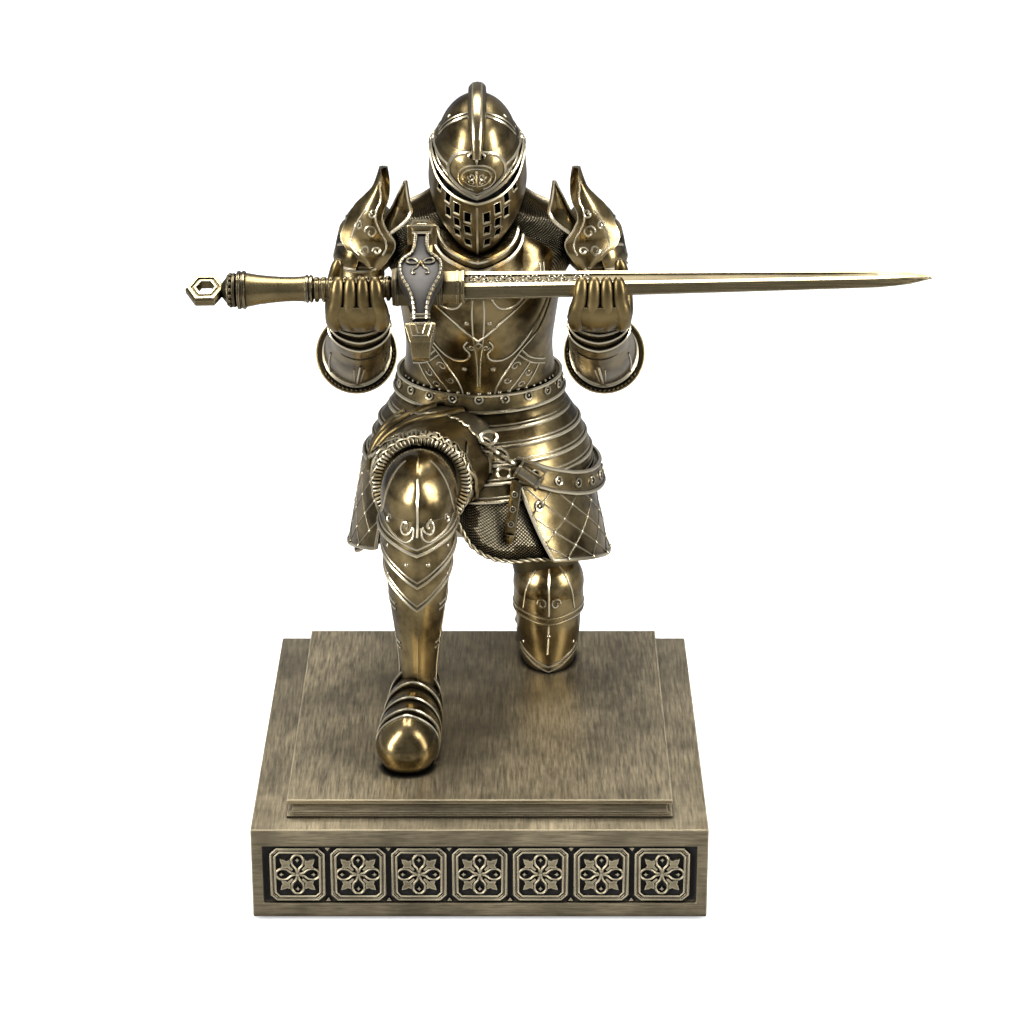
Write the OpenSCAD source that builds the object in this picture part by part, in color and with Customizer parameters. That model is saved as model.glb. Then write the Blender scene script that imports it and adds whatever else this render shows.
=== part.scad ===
// Kneeling knight pen stand: an armoured figure on a square plinth that holds a sword-shaped pen.
// Millimetres, +Z up, the origin at the centre of the underside of the felt. The knight faces -Y.

/* [Base] */
// Side of the square plinth
base_w = 120; // [116:1:130]
// Height of the plinth above the felt
base_h = 26; // [24:0.5:30]
// Thickness of the felt under the plinth
felt_t = 1; // [0.5:0.5:2]
// Height of the moulded plate on the plinth
plate_h = 5.4; // [4:0.2:7]
// How far the plate stands in from the plinth's left and right edges
plate_side_inset = 9.2; // [7:0.2:11]
// How far the plate stands in from the plinth's front and back edges
plate_front_inset = 6.6; // [5:0.2:8]
// Number of relief tiles along each side
tile_count = 7; // [5:1:8]

/* [Sword pen] */
// Length from the guard's centre to the blade's point
blade_reach = 130; // [110:1:140]
// Length of the bare pen that the blade covers
nib_reach = 27; // [20:1:30]
// Roll of the sword's flat about its own length
sword_roll = 27; // [20:1:35]
// Rise of the sword towards its point, in degrees
sword_rise = 1.1; // [0:0.1:2]
// Radial clearance of the pen in the blade and of the pommel in the grip
fit_gap = 0.06; // [0.03:0.01:0.09]

/* [Figure] */
// Height of the raised knee's centre
knee_z = 103; // [101:0.5:105]
// Height of the hip joints
hip_z = 98; // [96:0.5:100]
// Height of the helmet's centre
head_z = 187; // [185:0.5:190]
// Height of the sword's axis at the guard
sword_z = 164.9; // [164:0.1:166]

/* [Hidden] */

bronze = "#8a7440";
dark_bronze = "#5c4c2c";
floor_z = felt_t + base_h + plate_h;
round_fn = 18;

// Places in the figure, on its own right (-X) and left (+X) side.
body_x = -0.6;
right_ankle = [-17.2, -13, floor_z + 14];
right_knee = [-16.3, -13, knee_z];
left_knee = [19, 36, floor_z + 10.5];
left_ankle = [17, 78, 59];
waist = [body_x, 38, 117];
chest = [body_x, 29, 146];
neck = [body_x, 20, 168];
head = [body_x, 9.5, head_z];
elbow = [33.3, 10, 134];
wrist = [30.6, -20, 151];
shoulder = [31, 26, 166];
sword_at = [-14.5, -26, sword_z];

// ---------- shared shapes ----------

// Evaluates a sculpted piece as one closed mesh.
module sculpted() resize([0, 0, 0]) children();

// An ellipsoid of half axes s about p.
module blob(p, s, turn = [0, 0, 0], fn = round_fn)
    translate(p) rotate(turn) hull() scale(s) sphere(1, $fn = fn);

// A rounded limb from p with radius a to q with radius b.
module limb(p, a, q, b, fn = round_fn) hull() {
    translate(p) sphere(a, $fn = fn);
    translate(q) sphere(b, $fn = fn);
}

// A flat oval slice of half axes rx and ry, for lofting.
module slice(p, rx, ry, turn = [0, 0, 0], fn = 24)
    translate(p) rotate(turn) scale([rx, ry, 1]) cylinder(r = 1, h = 0.4, center = true, $fn = fn);

// Everything above the plate.
module above_plate() translate([-100, -100, floor_z]) cube([200, 220, 240]);

// The same shape on the figure's own left side.
module other_side() mirror([1, 0, 0]) children();

// ---------- base ----------

module felt_pad() color("#2b2a28") translate([-base_w / 2 + 3, -base_w / 2 + 3, 0]) cube([base_w - 6, base_w - 6, felt_t]);

screw_spots = [[-17.5, -12], [19, 36]];
screw_r = 1.5;
screw_head_r = 3.4;

module screw_bores(r, head_r) for (s = screw_spots) {
    translate([s.x, s.y, 0]) cylinder(r = r, h = floor_z + 7, $fn = 32);
    translate([s.x, s.y, 0]) cylinder(r = head_r, h = felt_t + 4, $fn = 32);
}

panel_w = base_w - 8;
panel_h = 17;
panel_deep = 1.2;
panel_z = felt_t + base_h / 2 - 0.5;

module base_plinth() color(bronze) difference() {
    translate([-base_w / 2, -base_w / 2, felt_t]) cube([base_w, base_w, base_h]);
    for (a = [0:90:270]) rotate([0, 0, a])
        translate([-panel_w / 2, -base_w / 2 - 1, panel_z - panel_h / 2]) cube([panel_w, 1 + panel_deep, panel_h]);
    screw_bores(screw_r + 0.2, screw_head_r + 0.4);
}

tile_pitch = panel_w / tile_count;
tile_w = tile_pitch - 1.6;
tile_h = panel_h - 1.1;

module tile_outline(grow) offset(delta = grow) polygon([
    for (sx = [-1, 1], k = [0, 1], p = [[0.5, 0.5]])
        [sx * (tile_w / 2 - (k == (sx > 0 ? 1 : 0) ? 0 : 1.2)), sx * (tile_h / 2 - (k == (sx > 0 ? 1 : 0) ? 1.2 : 0))]
]);

module tile_frame() difference() {
    square([tile_w, tile_h], center = true);
    square([tile_w - 3, tile_h - 3], center = true);
}

module tile_flower() {
    for (a = [0:90:270]) rotate(a) translate([3, 0]) difference() {
        circle(r = 1.9, $fn = 24);
        circle(r = 1.1, $fn = 24);
    }
    for (a = [45:90:315]) rotate(a) translate([2.5, -0.9]) square([4.2, 1.8]);
    circle(r = 1.7, $fn = 24);
}

module frieze(a) color(bronze) rotate([0, 0, a]) for (i = [0:tile_count - 1])
    translate([(i - (tile_count - 1) / 2) * tile_pitch, -base_w / 2 + panel_deep, panel_z]) rotate([90, 0, 0]) {
        translate([-tile_w / 2, -tile_h / 2, 0]) cube([tile_w, tile_h, 0.4]);
        linear_extrude(1.1) tile_frame();
        linear_extrude(1.1) intersection() {
            tile_flower();
            square([tile_w - 2.9, tile_h - 2.9], center = true);
        }
    }

module frieze_front() frieze(0);
module frieze_right() frieze(90);
module frieze_back() frieze(180);
module frieze_left() frieze(270);

plate_w = base_w - 2 * plate_side_inset;
plate_d = base_w - 2 * plate_front_inset;

module plate_layer(z, h, inset)
    translate([-plate_w / 2 + inset, -plate_d / 2 + inset, felt_t + base_h + z])
        cube([plate_w - 2 * inset, plate_d - 2 * inset, h]);

module top_plate() color(bronze) difference() {
    union() {
        plate_layer(0, 0.9, 0);
        plate_layer(0.9, plate_h - 2.3, 1.5);
        plate_layer(plate_h - 1.4, 1.4, 0.2);
    }
    screw_bores(screw_r + 0.2, screw_head_r + 0.4);
}

module base_screws() color("silver") for (s = screw_spots) translate([s.x, s.y, 0]) {
    translate([0, 0, felt_t + 1.4]) cylinder(r = screw_head_r, h = 2.6, $fn = 32);
    translate([0, 0, felt_t + 4]) cylinder(r = screw_r, h = floor_z + 6 - felt_t - 4, $fn = 32);
}

// ---------- legs ----------

toe = [-19.6, -33, floor_z + 6];

module right_sabaton_shape() intersection() {
    above_plate();
    union() {
        hull() {
            blob(toe, [8.4, 8.6, 8.2]);
            blob([-18.4, -20, floor_z + 6], [8, 6, 10]);
        }
        hull() {
            blob([-18.4, -20, floor_z + 6], [8, 6, 10]);
            blob([-17.4, -10, floor_z + 8], [6.2, 6, 9.5]);
            blob([-17, -2, floor_z + 5], [5.6, 5, 6]);
        }
    }
}
module right_sabaton() color(bronze) sculpted() difference() {
    right_sabaton_shape();
    screw_bores(screw_r + 0.3, screw_r + 0.3);
}

module right_greave_shape() hull() {
    slice(right_ankle + [0, 1, -3], 4.6, 5.6);
    slice(right_ankle + [0.4, 1, 12], 5.5, 6.6);
    slice([-16.8, -10, 78], 8.6, 10);
    slice([-16.6, -10, 94], 8.8, 10);
}
module right_greave() color(bronze) sculpted() difference() {
    right_greave_shape();
    right_sabaton_shape();
    right_poleyn_shape();
}

module right_knee_lames_shape() hull() {
    slice([-16.7, -12, 79], 9, 11);
    slice([-16.6, -12.6, 96], 9.9, 12.6);
    translate([-16.9, -20, 76]) cube([0.6, 4, 1], center = true);
}
module right_knee_lames() color(bronze) sculpted() difference() {
    right_knee_lames_shape();
    right_greave_shape();
    right_poleyn_shape();
    right_cuisse_shape();
}

module right_poleyn_shape() hull() {
    blob(right_knee + [0, 0.5, 0], [9.9, 12.8, 11.2]);
    translate(right_knee + [-0.4, -11.5, -10]) sphere(1, $fn = 8);
}
module right_poleyn() color(bronze) sculpted() difference() {
    right_poleyn_shape();
    right_cuisse_shape();
}

module right_cuisse_shape() limb(right_knee + [0, 6, 0.3], 9.4, [-13, 36, hip_z], 13);
module right_cuisse() color(dark_bronze) sculpted() difference() {
    right_cuisse_shape();
    right_greave_shape();
    mail_shirt_shape();
}

module left_cuisse_shape() limb(left_knee + [0, 1, 9], 9, [14, 42, hip_z - 4], 12.5);
module left_cuisse() color(dark_bronze) sculpted() difference() {
    left_cuisse_shape();
    mail_shirt_shape();
}

module left_poleyn_shape() hull() {
    blob(left_knee + [0, -0.2, 14], [10, 10.4, 9.5]);
    blob(left_knee + [0, -0.2, 6], [9.8, 10.2, 2]);
}
module left_poleyn() color(bronze) sculpted() difference() {
    left_poleyn_shape();
    left_cuisse_shape();
    left_knee_lame_shape();
    left_greave_shape();
}

module left_knee_lame_shape() intersection() {
    above_plate();
    hull() {
        blob(left_knee + [0, 0, 4], [9.2, 9.8, 2]);
        blob(left_knee + [0, 0, -6], [8.2, 9, 5.5]);
    }
}
module left_knee_lame() color(bronze) sculpted() difference() {
    left_knee_lame_shape();
    left_greave_shape();
    left_cuisse_shape();
    left_sabaton_shape();
    screw_bores(screw_r + 0.3, screw_r + 0.3);
}

module left_greave_shape() intersection() {
    above_plate();
    hull() {
        blob(left_knee + [0.4, 10, -2.4], [8.6, 6, 8.2]);
        blob([17.6, 60, 51.5], [7.6, 6, 7.6]);
        blob(left_ankle + [0, -3, 1], [5, 4.6, 5]);
    }
}
module left_greave() color(bronze) sculpted() difference() {
    left_greave_shape();
    left_sabaton_shape();
    left_cuisse_shape();
}

module left_sabaton_shape() intersection() {
    above_plate();
    union() {
        hull() {
            blob([17, 46, floor_z + 3.6], [7, 6, 5.4]);
            blob([17, 55, floor_z + 6.4], [7.2, 5, 5.6]);
        }
        hull() {
            blob([17, 55, floor_z + 6.4], [7.2, 5, 5.6]);
            blob([17, 80, 58], [5.8, 5.4, 6.4]);
        }
    }
}
module left_sabaton() color(bronze) sculpted() left_sabaton_shape();

// ---------- skirt and hips ----------

module skirt_mass() {
    hull() {
        slice([body_x, 38, 113], 23, 18);
        slice([body_x - 0.5, 36, 100], 31, 27);
        slice([body_x - 0.6, 34, 79], 35.5, 33);
    }
    hull() {
        slice([body_x, 36, 108], 24, 20);
        blob([-15.5, -1, knee_z - 0.5], [14.2, 9, 13.6]);
        blob([-15, 14, hip_z], [16, 12, 17]);
    }
}
module mail_skirt_shape() difference() {
    skirt_mass();
    hull() {
        slice([4, 38, 76], 29, 27);
        slice([4, 38, 84], 25, 23);
    }
}
module mail_skirt() color(dark_bronze) sculpted() difference() {
    mail_skirt_shape();
    right_cuisse_shape();
    right_poleyn_shape();
    right_knee_lames_shape();
    right_greave_shape();
    left_cuisse_shape();
    left_poleyn_shape();
    mail_shirt_shape();
}

// Hip plates that overlap downwards from the belt.
module fauld_shape() {
    hull() {
        slice([body_x, 38, 115.5], 24.4, 19.4);
        slice([body_x, 37.5, 109], 28.6, 23.4);
    }
    hull() {
        slice([body_x, 37.5, 109], 28, 23);
        slice([body_x - 0.2, 37, 101], 32.6, 27.6);
    }
    hull() {
        slice([body_x, 37, 101], 32.2, 27.2);
        slice([body_x - 0.2, 36.5, 94], 34.8, 30.4);
    }
}
module fauld_lames() color(bronze) sculpted() difference() {
    fauld_shape();
    skirt_mass();
    right_cuisse_shape();
    mail_shirt_shape();
    waist_belt_shape();
}

// A quilted hip guard over the skirt, on the side given by s (1 left, -1 right).
module tasset_shape(s, front) difference() {
    hull() {
        slice([body_x, 36.5, 95.5], 35.6, 31.4);
        slice([body_x - 0.6, 34, s > 0 ? 77 : 80], 38, 35.4);
    }
    translate([s > 0 ? -100 : front, -100, 60]) cube([s > 0 ? 100 + front : 100, 200, 60]);
    rotate([0, 0, 0]) translate([-100, 62, 60]) cube([200, 100, 60]);
}
module left_tasset() color(bronze) sculpted() difference() {
    tasset_shape(1, 13);
    skirt_mass();
    left_cuisse_shape();
    fauld_shape();
    sword_belt_shape();
}
module right_tasset() color(bronze) sculpted() difference() {
    tasset_shape(-1, -26);
    skirt_mass();
    fauld_shape();
    right_cuisse_shape();
}

module waist_belt_shape() hull() {
    slice([body_x, 37.6, 120.4], 24.2, 18.8, [4, 0, 0]);
    slice([body_x, 38, 115.4], 25.4, 20, [4, 0, 0]);
}
module waist_belt() color(bronze) sculpted() difference() {
    waist_belt_shape();
    mail_shirt_shape();
    breastplate_shape();
}

// The sword belt hangs lower on the left hip.
module sword_belt_shape() intersection() {
    translate([body_x, 36.5, 97]) rotate([0, 9, 0]) hull() {
        slice([0, 0, 3.2], 36.4, 31.8);
        slice([0, 0, -3.2], 38, 33.6);
    }
    translate([9, -60, 60]) cube([80, 120, 80]);
}
module sword_belt() color(bronze) sculpted() difference() {
    sword_belt_shape();
    skirt_mass();
    fauld_shape();
}

module belt_buckle() color(bronze) sculpted() difference() {
    translate([11, 4, 99]) rotate([12, 0, -28]) difference() {
        translate([-4.5, -3.4, -3.6]) cube([9, 4, 7.2]);
        translate([-2.6, -4, -1.9]) cube([5.2, 6, 3.8]);
    }
    skirt_mass();
    fauld_shape();
    sword_belt_shape();
}

// ---------- body ----------

module mail_shirt_shape() {
    hull() {
        slice([body_x, 39, 110], 18, 13);
        slice(waist, 20, 14.6);
        slice(chest + [0, 0, -8], 20.2, 15.4);
        slice(chest + [0, 0, 6], 21, 15);
    }
    hull() {
        slice(chest + [0, 0, 6], 21, 15);
        blob([24, 26, 164], [7, 8, 8]);
        blob([-25.2, 26, 164], [7, 8, 8]);
        blob(neck + [0, 1, 5], [12, 11, 7]);
    }
    hull() {
        blob(neck + [0, 1, 5], [11, 10, 7]);
        blob(head + [0, 3, -4], [8, 8, 10]);
    }
}
module mail_shirt() color(dark_bronze) sculpted() mail_shirt_shape();

module breastplate_shape() difference() {
    hull() {
        slice([body_x, 38, 119], 22.6, 18.2);
        slice([body_x, 34, 131], 21.6, 18.6);
        slice([body_x, 29, 147], 22.8, 19.6);
        slice([body_x, 25, 158], 20, 15.4);
        translate([body_x, 11.4, 137]) cube([0.5, 1, 8], center = true);
    }
    translate([-50, 36, 100]) cube([100, 60, 80]);
}
module breastplate() color(bronze) sculpted() difference() {
    breastplate_shape();
    mail_shirt_shape();
}

module backplate_shape() difference() {
    hull() {
        slice([body_x, 38, 119], 22.4, 17.6);
        slice([body_x, 34, 134], 22, 18.6);
        slice([body_x, 30, 152], 22.4, 18.4);
    }
    translate([-50, -50, 100]) cube([100, 86, 80]);
}
module backplate() color(bronze) sculpted() difference() {
    backplate_shape();
    mail_shirt_shape();
    waist_belt_shape();
}

module gorget_shape() hull() {
    slice(neck + [0, -3, -6], 14.6, 14, [24, 0, 0]);
    slice(neck + [0, -2, 0.5], 13, 12.4, [24, 0, 0]);
}
module gorget() color(bronze) sculpted() difference() {
    gorget_shape();
    mail_shirt_shape();
    breastplate_shape();
    head_mass();
}

// ---------- arms, drawn on the left (+X) side ----------

module pauldron_shape() {
    hull() {
        blob([33, 24, 167], [8, 11, 10]);
        blob([37, 20, 158], [4.4, 8, 7]);
    }
    hull() {
        blob([30.5, 17, 168], [5, 5, 6]);
        blob([31, 14, 155], [5.4, 4, 6]);
        blob([36, 16, 156], [3.6, 5, 5]);
    }
    hull() {
        blob([28.5, 17, 173], [4.6, 5, 5]);
        translate([25.2, 13.6, 186]) sphere(0.7, $fn = 8);
    }
    hull() {
        blob([22.5, 16.5, 170], [3, 4, 5]);
        translate([19.6, 13.4, 182]) sphere(0.6, $fn = 8);
    }
}
module left_pauldron() color(bronze) sculpted() difference() {
    pauldron_shape();
    mail_shirt_shape();
    gorget_shape();
    rerebrace_shape();
    breastplate_shape();
}
module right_pauldron() color(bronze) sculpted() difference() {
    other_side() pauldron_shape();
    mail_shirt_shape();
    gorget_shape();
    other_side() rerebrace_shape();
    breastplate_shape();
}

module rerebrace_shape() limb([33.5, 23, 162], 6.4, elbow + [1, 2, 4], 6.2);
module left_rerebrace() color(bronze) sculpted() difference() {
    rerebrace_shape();
    mail_shirt_shape();
    breastplate_shape();
    backplate_shape();
    couter_shape();
    vambrace_shape();
}
module right_rerebrace() color(bronze) sculpted() difference() {
    other_side() rerebrace_shape();
    mail_shirt_shape();
    breastplate_shape();
    backplate_shape();
    other_side() couter_shape();
    other_side() vambrace_shape();
}

module couter_shape() hull() {
    translate(elbow + [0, -1, 0.5]) rotate([62, 0, 0]) scale([10.8, 10.8, 1]) cylinder(r = 1, h = 2.4, center = true, $fn = 24);
    blob(elbow + [0, 5, -1], [7.6, 6.4, 8]);
}
module left_couter() color(bronze) sculpted() difference() {
    couter_shape();
    vambrace_shape();
    breastplate_shape();
    backplate_shape();
}
module right_couter() color(bronze) sculpted() difference() {
    other_side() couter_shape();
    other_side() vambrace_shape();
    breastplate_shape();
    backplate_shape();
}

module vambrace_shape() hull() {
    translate(elbow + [0, 0.5, 0.5]) rotate([58, 0, -5]) scale([9.2, 9.4, 1]) cylinder(r = 1, h = 2, center = true, $fn = 24);
    translate(wrist + [0, 1.5, -0.9]) rotate([58, 0, -5]) scale([7.2, 5.8, 1]) cylinder(r = 1, h = 1.6, center = true, $fn = 24);
}
module left_vambrace() color(bronze) sculpted() difference() {
    vambrace_shape();
    hand_mass();
    left_thumb_shape();
}
module right_vambrace() color(bronze) sculpted() difference() {
    other_side() vambrace_shape();
    other_side() hand_mass();
    other_side() left_thumb_shape();
}

// A palm turned up, with four fingers standing in front of the sword.
finger_x = [24.9, 28.8, 32.7, 36.5];
module palm_shape() hull() {
    blob(wrist + [0, -1.5, 1.5], [6.6, 4, 4.6]);
    blob([30.6, -28.3, 157.2], [7.8, 4.6, 4]);
}
module fingers_shape() for (x = finger_x) {
    fan = (x - 30.7) * 0.1;
    limb([x + fan, -30.8, 157.5], 2.2, [x - fan * 1.2, -33.2, 163.5], 1.95, 10);
    limb([x - fan * 1.2, -33.2, 163.5], 1.95, [x - fan * 2, -33.2, 168.6], 1.6, 10);
}
module hand_mass() {
    palm_shape();
    fingers_shape();
}
// The open slot that the sword rests in and lifts out of.
module sword_slot(r) translate(sword_at) rotate([0, -sword_rise, 0]) {
    rotate([0, 90, 0]) cylinder(r = r, h = 160, center = true, $fn = 32);
    translate([-80, -r, 0]) cube([160, 2 * r, 80]);
}
module left_palm() color(bronze) sculpted() difference() {
    palm_shape();
    sword_slot(4.95);
}
module right_palm() color(bronze) sculpted() difference() {
    other_side() palm_shape();
    sword_slot(3.6);
}
module left_fingers() color(bronze) sculpted() difference() {
    fingers_shape();
    palm_shape();
    sword_slot(4.95);
}
module right_fingers() color(bronze) sculpted() difference() {
    other_side() fingers_shape();
    other_side() palm_shape();
    sword_slot(3.6);
}

module left_thumb_shape() union() {
    limb([37.2, -19.5, 155.6], 2.3, [37.2, -17.6, 162], 2, 10);
    limb([37.2, -17.6, 162], 2, [36.2, -18.2, 168.6], 1.6, 10);
}
module left_thumb() color(bronze) sculpted() difference() {
    left_thumb_shape();
    hand_mass();
    sword_slot(4.95);
}
module right_thumb() color(bronze) sculpted() difference() {
    other_side() left_thumb_shape();
    other_side() hand_mass();
    sword_slot(4.95);
}

// ---------- helmet ----------

head_pitch = 27;

module in_head() translate(head) rotate([head_pitch, 0, 0]) children();

module skull_shape() in_head() hull() {
    blob([0, 2, 3], [12.2, 14.6, 13.4]);
    blob([0, 5, -8], [12, 11, 8]);
}
module helmet_skull() color(bronze) sculpted() difference() {
    skull_shape();
    mail_shirt_shape();
}

module comb_shape() in_head() intersection() {
    translate([-1.6, -20, -4]) cube([3.2, 40, 30]);
    translate([0, 3.4, 3.4]) rotate([0, 90, 0]) scale([16.6, 16.6, 1]) cylinder(r = 1, h = 10, center = true, $fn = 32);
}
module helmet_comb() color(bronze) sculpted() difference() {
    comb_shape();
    skull_shape();
    visor_shape();
    mail_shirt_shape();
    face_plate_shape();
}

module visor_shape() in_head() intersection() {
    hull() {
        blob([0, 1.4, 0], [13.2, 14.4, 11]);
        translate([0, -14.6, -4]) cube([1, 1, 6], center = true);
    }
    translate([-20, -20, -7]) cube([40, 24, 14]);
}
module visor() color(bronze) sculpted() difference() {
    visor_shape();
    skull_shape();
    face_plate_shape();
}

module face_plate_shape() in_head() hull() {
    translate([0, -15.2, -8]) cube([0.6, 1, 2.4], center = true);
    translate([0, -10.6, -25]) cube([1.2, 1.4, 1], center = true);
    slice([0, 2, -8], 13.2, 11.4);
    slice([0, 3, -16], 12, 11);
    slice([0, 1, -24], 6.6, 8);
}
module face_plate() color(bronze) sculpted() difference() {
    face_plate_shape();
    skull_shape();
    mail_shirt_shape();
}

module head_mass() {
    face_plate_shape();
    skull_shape();
}

module visor_pivots() color(bronze) sculpted() difference() {
    in_head() for (s = [-1, 1]) translate([s * 12.6, 3, -1]) rotate([0, 90, 0]) hull() cylinder(r = 2.2, h = 2.4, center = true, $fn = 16);
    skull_shape();
    visor_shape();
    face_plate_shape();
}

// ---------- sword pen, drawn along +X with its flat facing +Z ----------

module in_sword() translate(sword_at) rotate([0, -sword_rise, 0]) rotate([sword_roll, 0, 0]) children();

// A turned shape about the sword's length, from a profile of [along, radius] points.
module turned(profile) rotate([0, 90, 0]) rotate_extrude($fn = 64)
    polygon([for (p = profile) [p[1], p[0]]]);

module along_x(r, from, to, fn = 40) translate([from, 0, 0]) rotate([0, 90, 0]) cylinder(r = r, h = to - from, $fn = fn);

refill_r = 1.1;
nib_r = 1.7;
stud_r = 2;
pommel_end = -47;
barrel_end = -29.6;
wrap_end = -7.6;
block_end = 5.4;
sleeve_end = 10.9;

module pommel_ring() color(bronze) in_sword() difference() {
    translate([-55, 0, -1.5]) rotate([0, 0, 0]) cylinder(r = 5.2, h = 3, $fn = 6);
    translate([-55, 0, -2]) cylinder(r = 2.4, h = 4, $fn = 6);
    translate([-50.4, -6, -6]) cube([6, 12, 12]);
}

module pommel_collar() color(dark_bronze) in_sword() {
    turned([[-50.4, 0], [-50.4, 2.4], [-49.6, 3.8], [-48.6, 4.4], [pommel_end - 0.1, 4.4], [pommel_end - 0.1, stud_r],
        [pommel_end + 7, stud_r], [pommel_end + 7, 0]]);
}

module grip_barrel() color(bronze) in_sword() difference() {
    turned([[pommel_end, 0], [pommel_end, 4.1], [-44.6, 4.1], [-40.5, 3.7], [-36.5, 3.4], [-33, 3.1], [barrel_end, 3],
        [barrel_end, 0]]);
    along_x(stud_r + fit_gap, pommel_end - 1, pommel_end + 8);
    along_x(refill_r + fit_gap, pommel_end, 0);
}

module grip_ring(from, to, r) difference() {
    turned([[from, 0], [from, r - 0.6], [from + 0.5, r], [to - 0.5, r], [to, r - 0.6], [to, 0]]);
    children();
}
module grip_rings() color(bronze) in_sword() {
    grip_ring(pommel_end, -44.6, 4.95) along_x(4.1, -60, 0);
    grip_ring(barrel_end, -27.6, 3.55) along_x(refill_r + fit_gap, -60, 0);
}

wrap_turns = 8;
module grip_wrap() color(dark_bronze) in_sword() difference() {
    pitch = (wrap_end + 27.6) / wrap_turns;
    turned(concat([[-27.6, 0], [-27.6, 2.7]],
        [for (i = [0:wrap_turns - 1]) each [[-27.6 + (i + 0.25) * pitch, 3.05], [-27.6 + (i + 0.75) * pitch, 3.05],
            [-27.6 + (i + 1) * pitch, 2.7]]],
        [[wrap_end, 0]]));
    along_x(refill_r + fit_gap, -60, 10);
}

module guard_block() color(dark_bronze) in_sword() difference() {
    guard_block_shape();
    along_x(refill_r + fit_gap, -60, 10);
}

// The guard bows away from its face: points along it are [distance out, height of the face, half width].
guard_face = [[0, 8.2, 5.5], [5, 7.8, 5], [9, 6.8, 3.5], [12.5, 5.4, 2.6], [15.8, 3.8, 2.2]];
module guard_slab(p, s) translate([0, s * p[0], p[1] - 2.2]) cube([2 * p[2], 0.6, 4.4], center = true);
module guard_shield_shape() for (s = [-1, 1], i = [0:len(guard_face) - 2]) hull() {
    guard_slab(guard_face[i], s);
    guard_slab(guard_face[i + 1], s);
}
module guard_block_shape() translate([wrap_end, 0, 0]) rotate([0, 90, 0]) rotate([0, 0, 22.5])
    cylinder(r = 5.2, h = block_end - wrap_end, $fn = 8);
module guard_shield() color(dark_bronze) in_sword() sculpted() difference() {
    guard_shield_shape();
    guard_block_shape();
    translate([block_end - 0.01, -9, -9]) cube([9, 18, 18]);
    for (s = [-1, 1]) finial(s);
}

module finial(s) hull() {
    translate([0, s * 15.7, 2]) cube([4.6, 0.4, 4.2], center = true);
    translate([0, s * 16.9, 2.2]) rotate([-s * 21, 0, 0]) cube([7.8, 0.6, 5.6], center = true);
    translate([0, s * 21.4, 0.6]) rotate([-s * 21, 0, 0]) cube([5.2, 0.4, 4.6], center = true);
    translate([0, s * 24, -1.7]) cube([4.4, 0.4, 2.4], center = true);
}
module guard_finials() color(bronze) in_sword() for (s = [-1, 1]) finial(s);

module blade_sleeve() color(dark_bronze) in_sword() difference() {
    translate([block_end, 0, 0]) rotate([0, 90, 0]) scale([0.78, 1, 1]) rotate([0, 0, 22.5])
        cylinder(r = 5, h = sleeve_end - block_end, $fn = 8);
    along_x(nib_r, block_end - 1, sleeve_end + 1);
}

module nib_holder() color("silver") in_sword() difference() {
    along_x(nib_r, block_end, sleeve_end + nib_reach - 5);
    along_x(refill_r + fit_gap, -60, 60);
}

module ink_refill() color("goldenrod") in_sword() {
    along_x(refill_r, pommel_end + 9, sleeve_end + nib_reach - 4.4);
    turned([[sleeve_end + nib_reach - 4.4, 0], [sleeve_end + nib_reach - 4.4, refill_r], [sleeve_end + nib_reach - 1, 0.45],
        [sleeve_end + nib_reach - 0.6, 0.3], [sleeve_end + nib_reach - 0.6, 0]]);
}

// A six-sided section of the blade at x: half width w, half flat f, half thickness t.
module blade_section(x, w, f, t) translate([x, 0, 0]) rotate([90, 0, 90])
    linear_extrude(0.05) polygon([[-w, 0], [-f, t], [f, t], [w, 0], [f, -t], [-f, -t]]);

module blade() color(bronze) in_sword() difference() {
    hull() {
        blade_section(sleeve_end, 4.6, 2.7, 2.5);
        blade_section(blade_reach - 14, 3.2, 1.7, 1.5);
        blade_section(blade_reach - 6, 2.1, 0.9, 1.1);
        blade_section(blade_reach - 0.05, 0.3, 0.1, 0.2);
    }
    along_x(nib_r + fit_gap, sleeve_end - 1, sleeve_end + nib_reach);
}

// ---------- the parts ----------

felt_pad();
base_plinth();
frieze_front();
frieze_back();
frieze_left();
frieze_right();
top_plate();
base_screws();
right_sabaton();
right_greave();
right_knee_lames();
right_poleyn();
right_cuisse();
left_sabaton();
left_greave();
left_knee_lame();
left_poleyn();
left_cuisse();
mail_skirt();
fauld_lames();
left_tasset();
right_tasset();
waist_belt();
sword_belt();
belt_buckle();
mail_shirt();
breastplate();
backplate();
gorget();
right_pauldron();
left_pauldron();
right_rerebrace();
left_rerebrace();
right_couter();
left_couter();
right_vambrace();
left_vambrace();
right_palm();
left_palm();
right_fingers();
left_fingers();
right_thumb();
left_thumb();
helmet_skull();
helmet_comb();
visor();
face_plate();
visor_pivots();
pommel_ring();
pommel_collar();
grip_barrel();
grip_rings();
grip_wrap();
guard_block();
guard_shield();
guard_finials();
blade_sleeve();
nib_holder();
ink_refill();
blade();
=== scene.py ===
# A kneeling knight in plate and mail on a square plinth, holding a sword-shaped pen on both raised hands.
import bpy, bmesh, math
from math import sin, cos, pi, radians
from mathutils import Matrix, Vector
from mathutils.bvhtree import BVHTree


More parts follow.
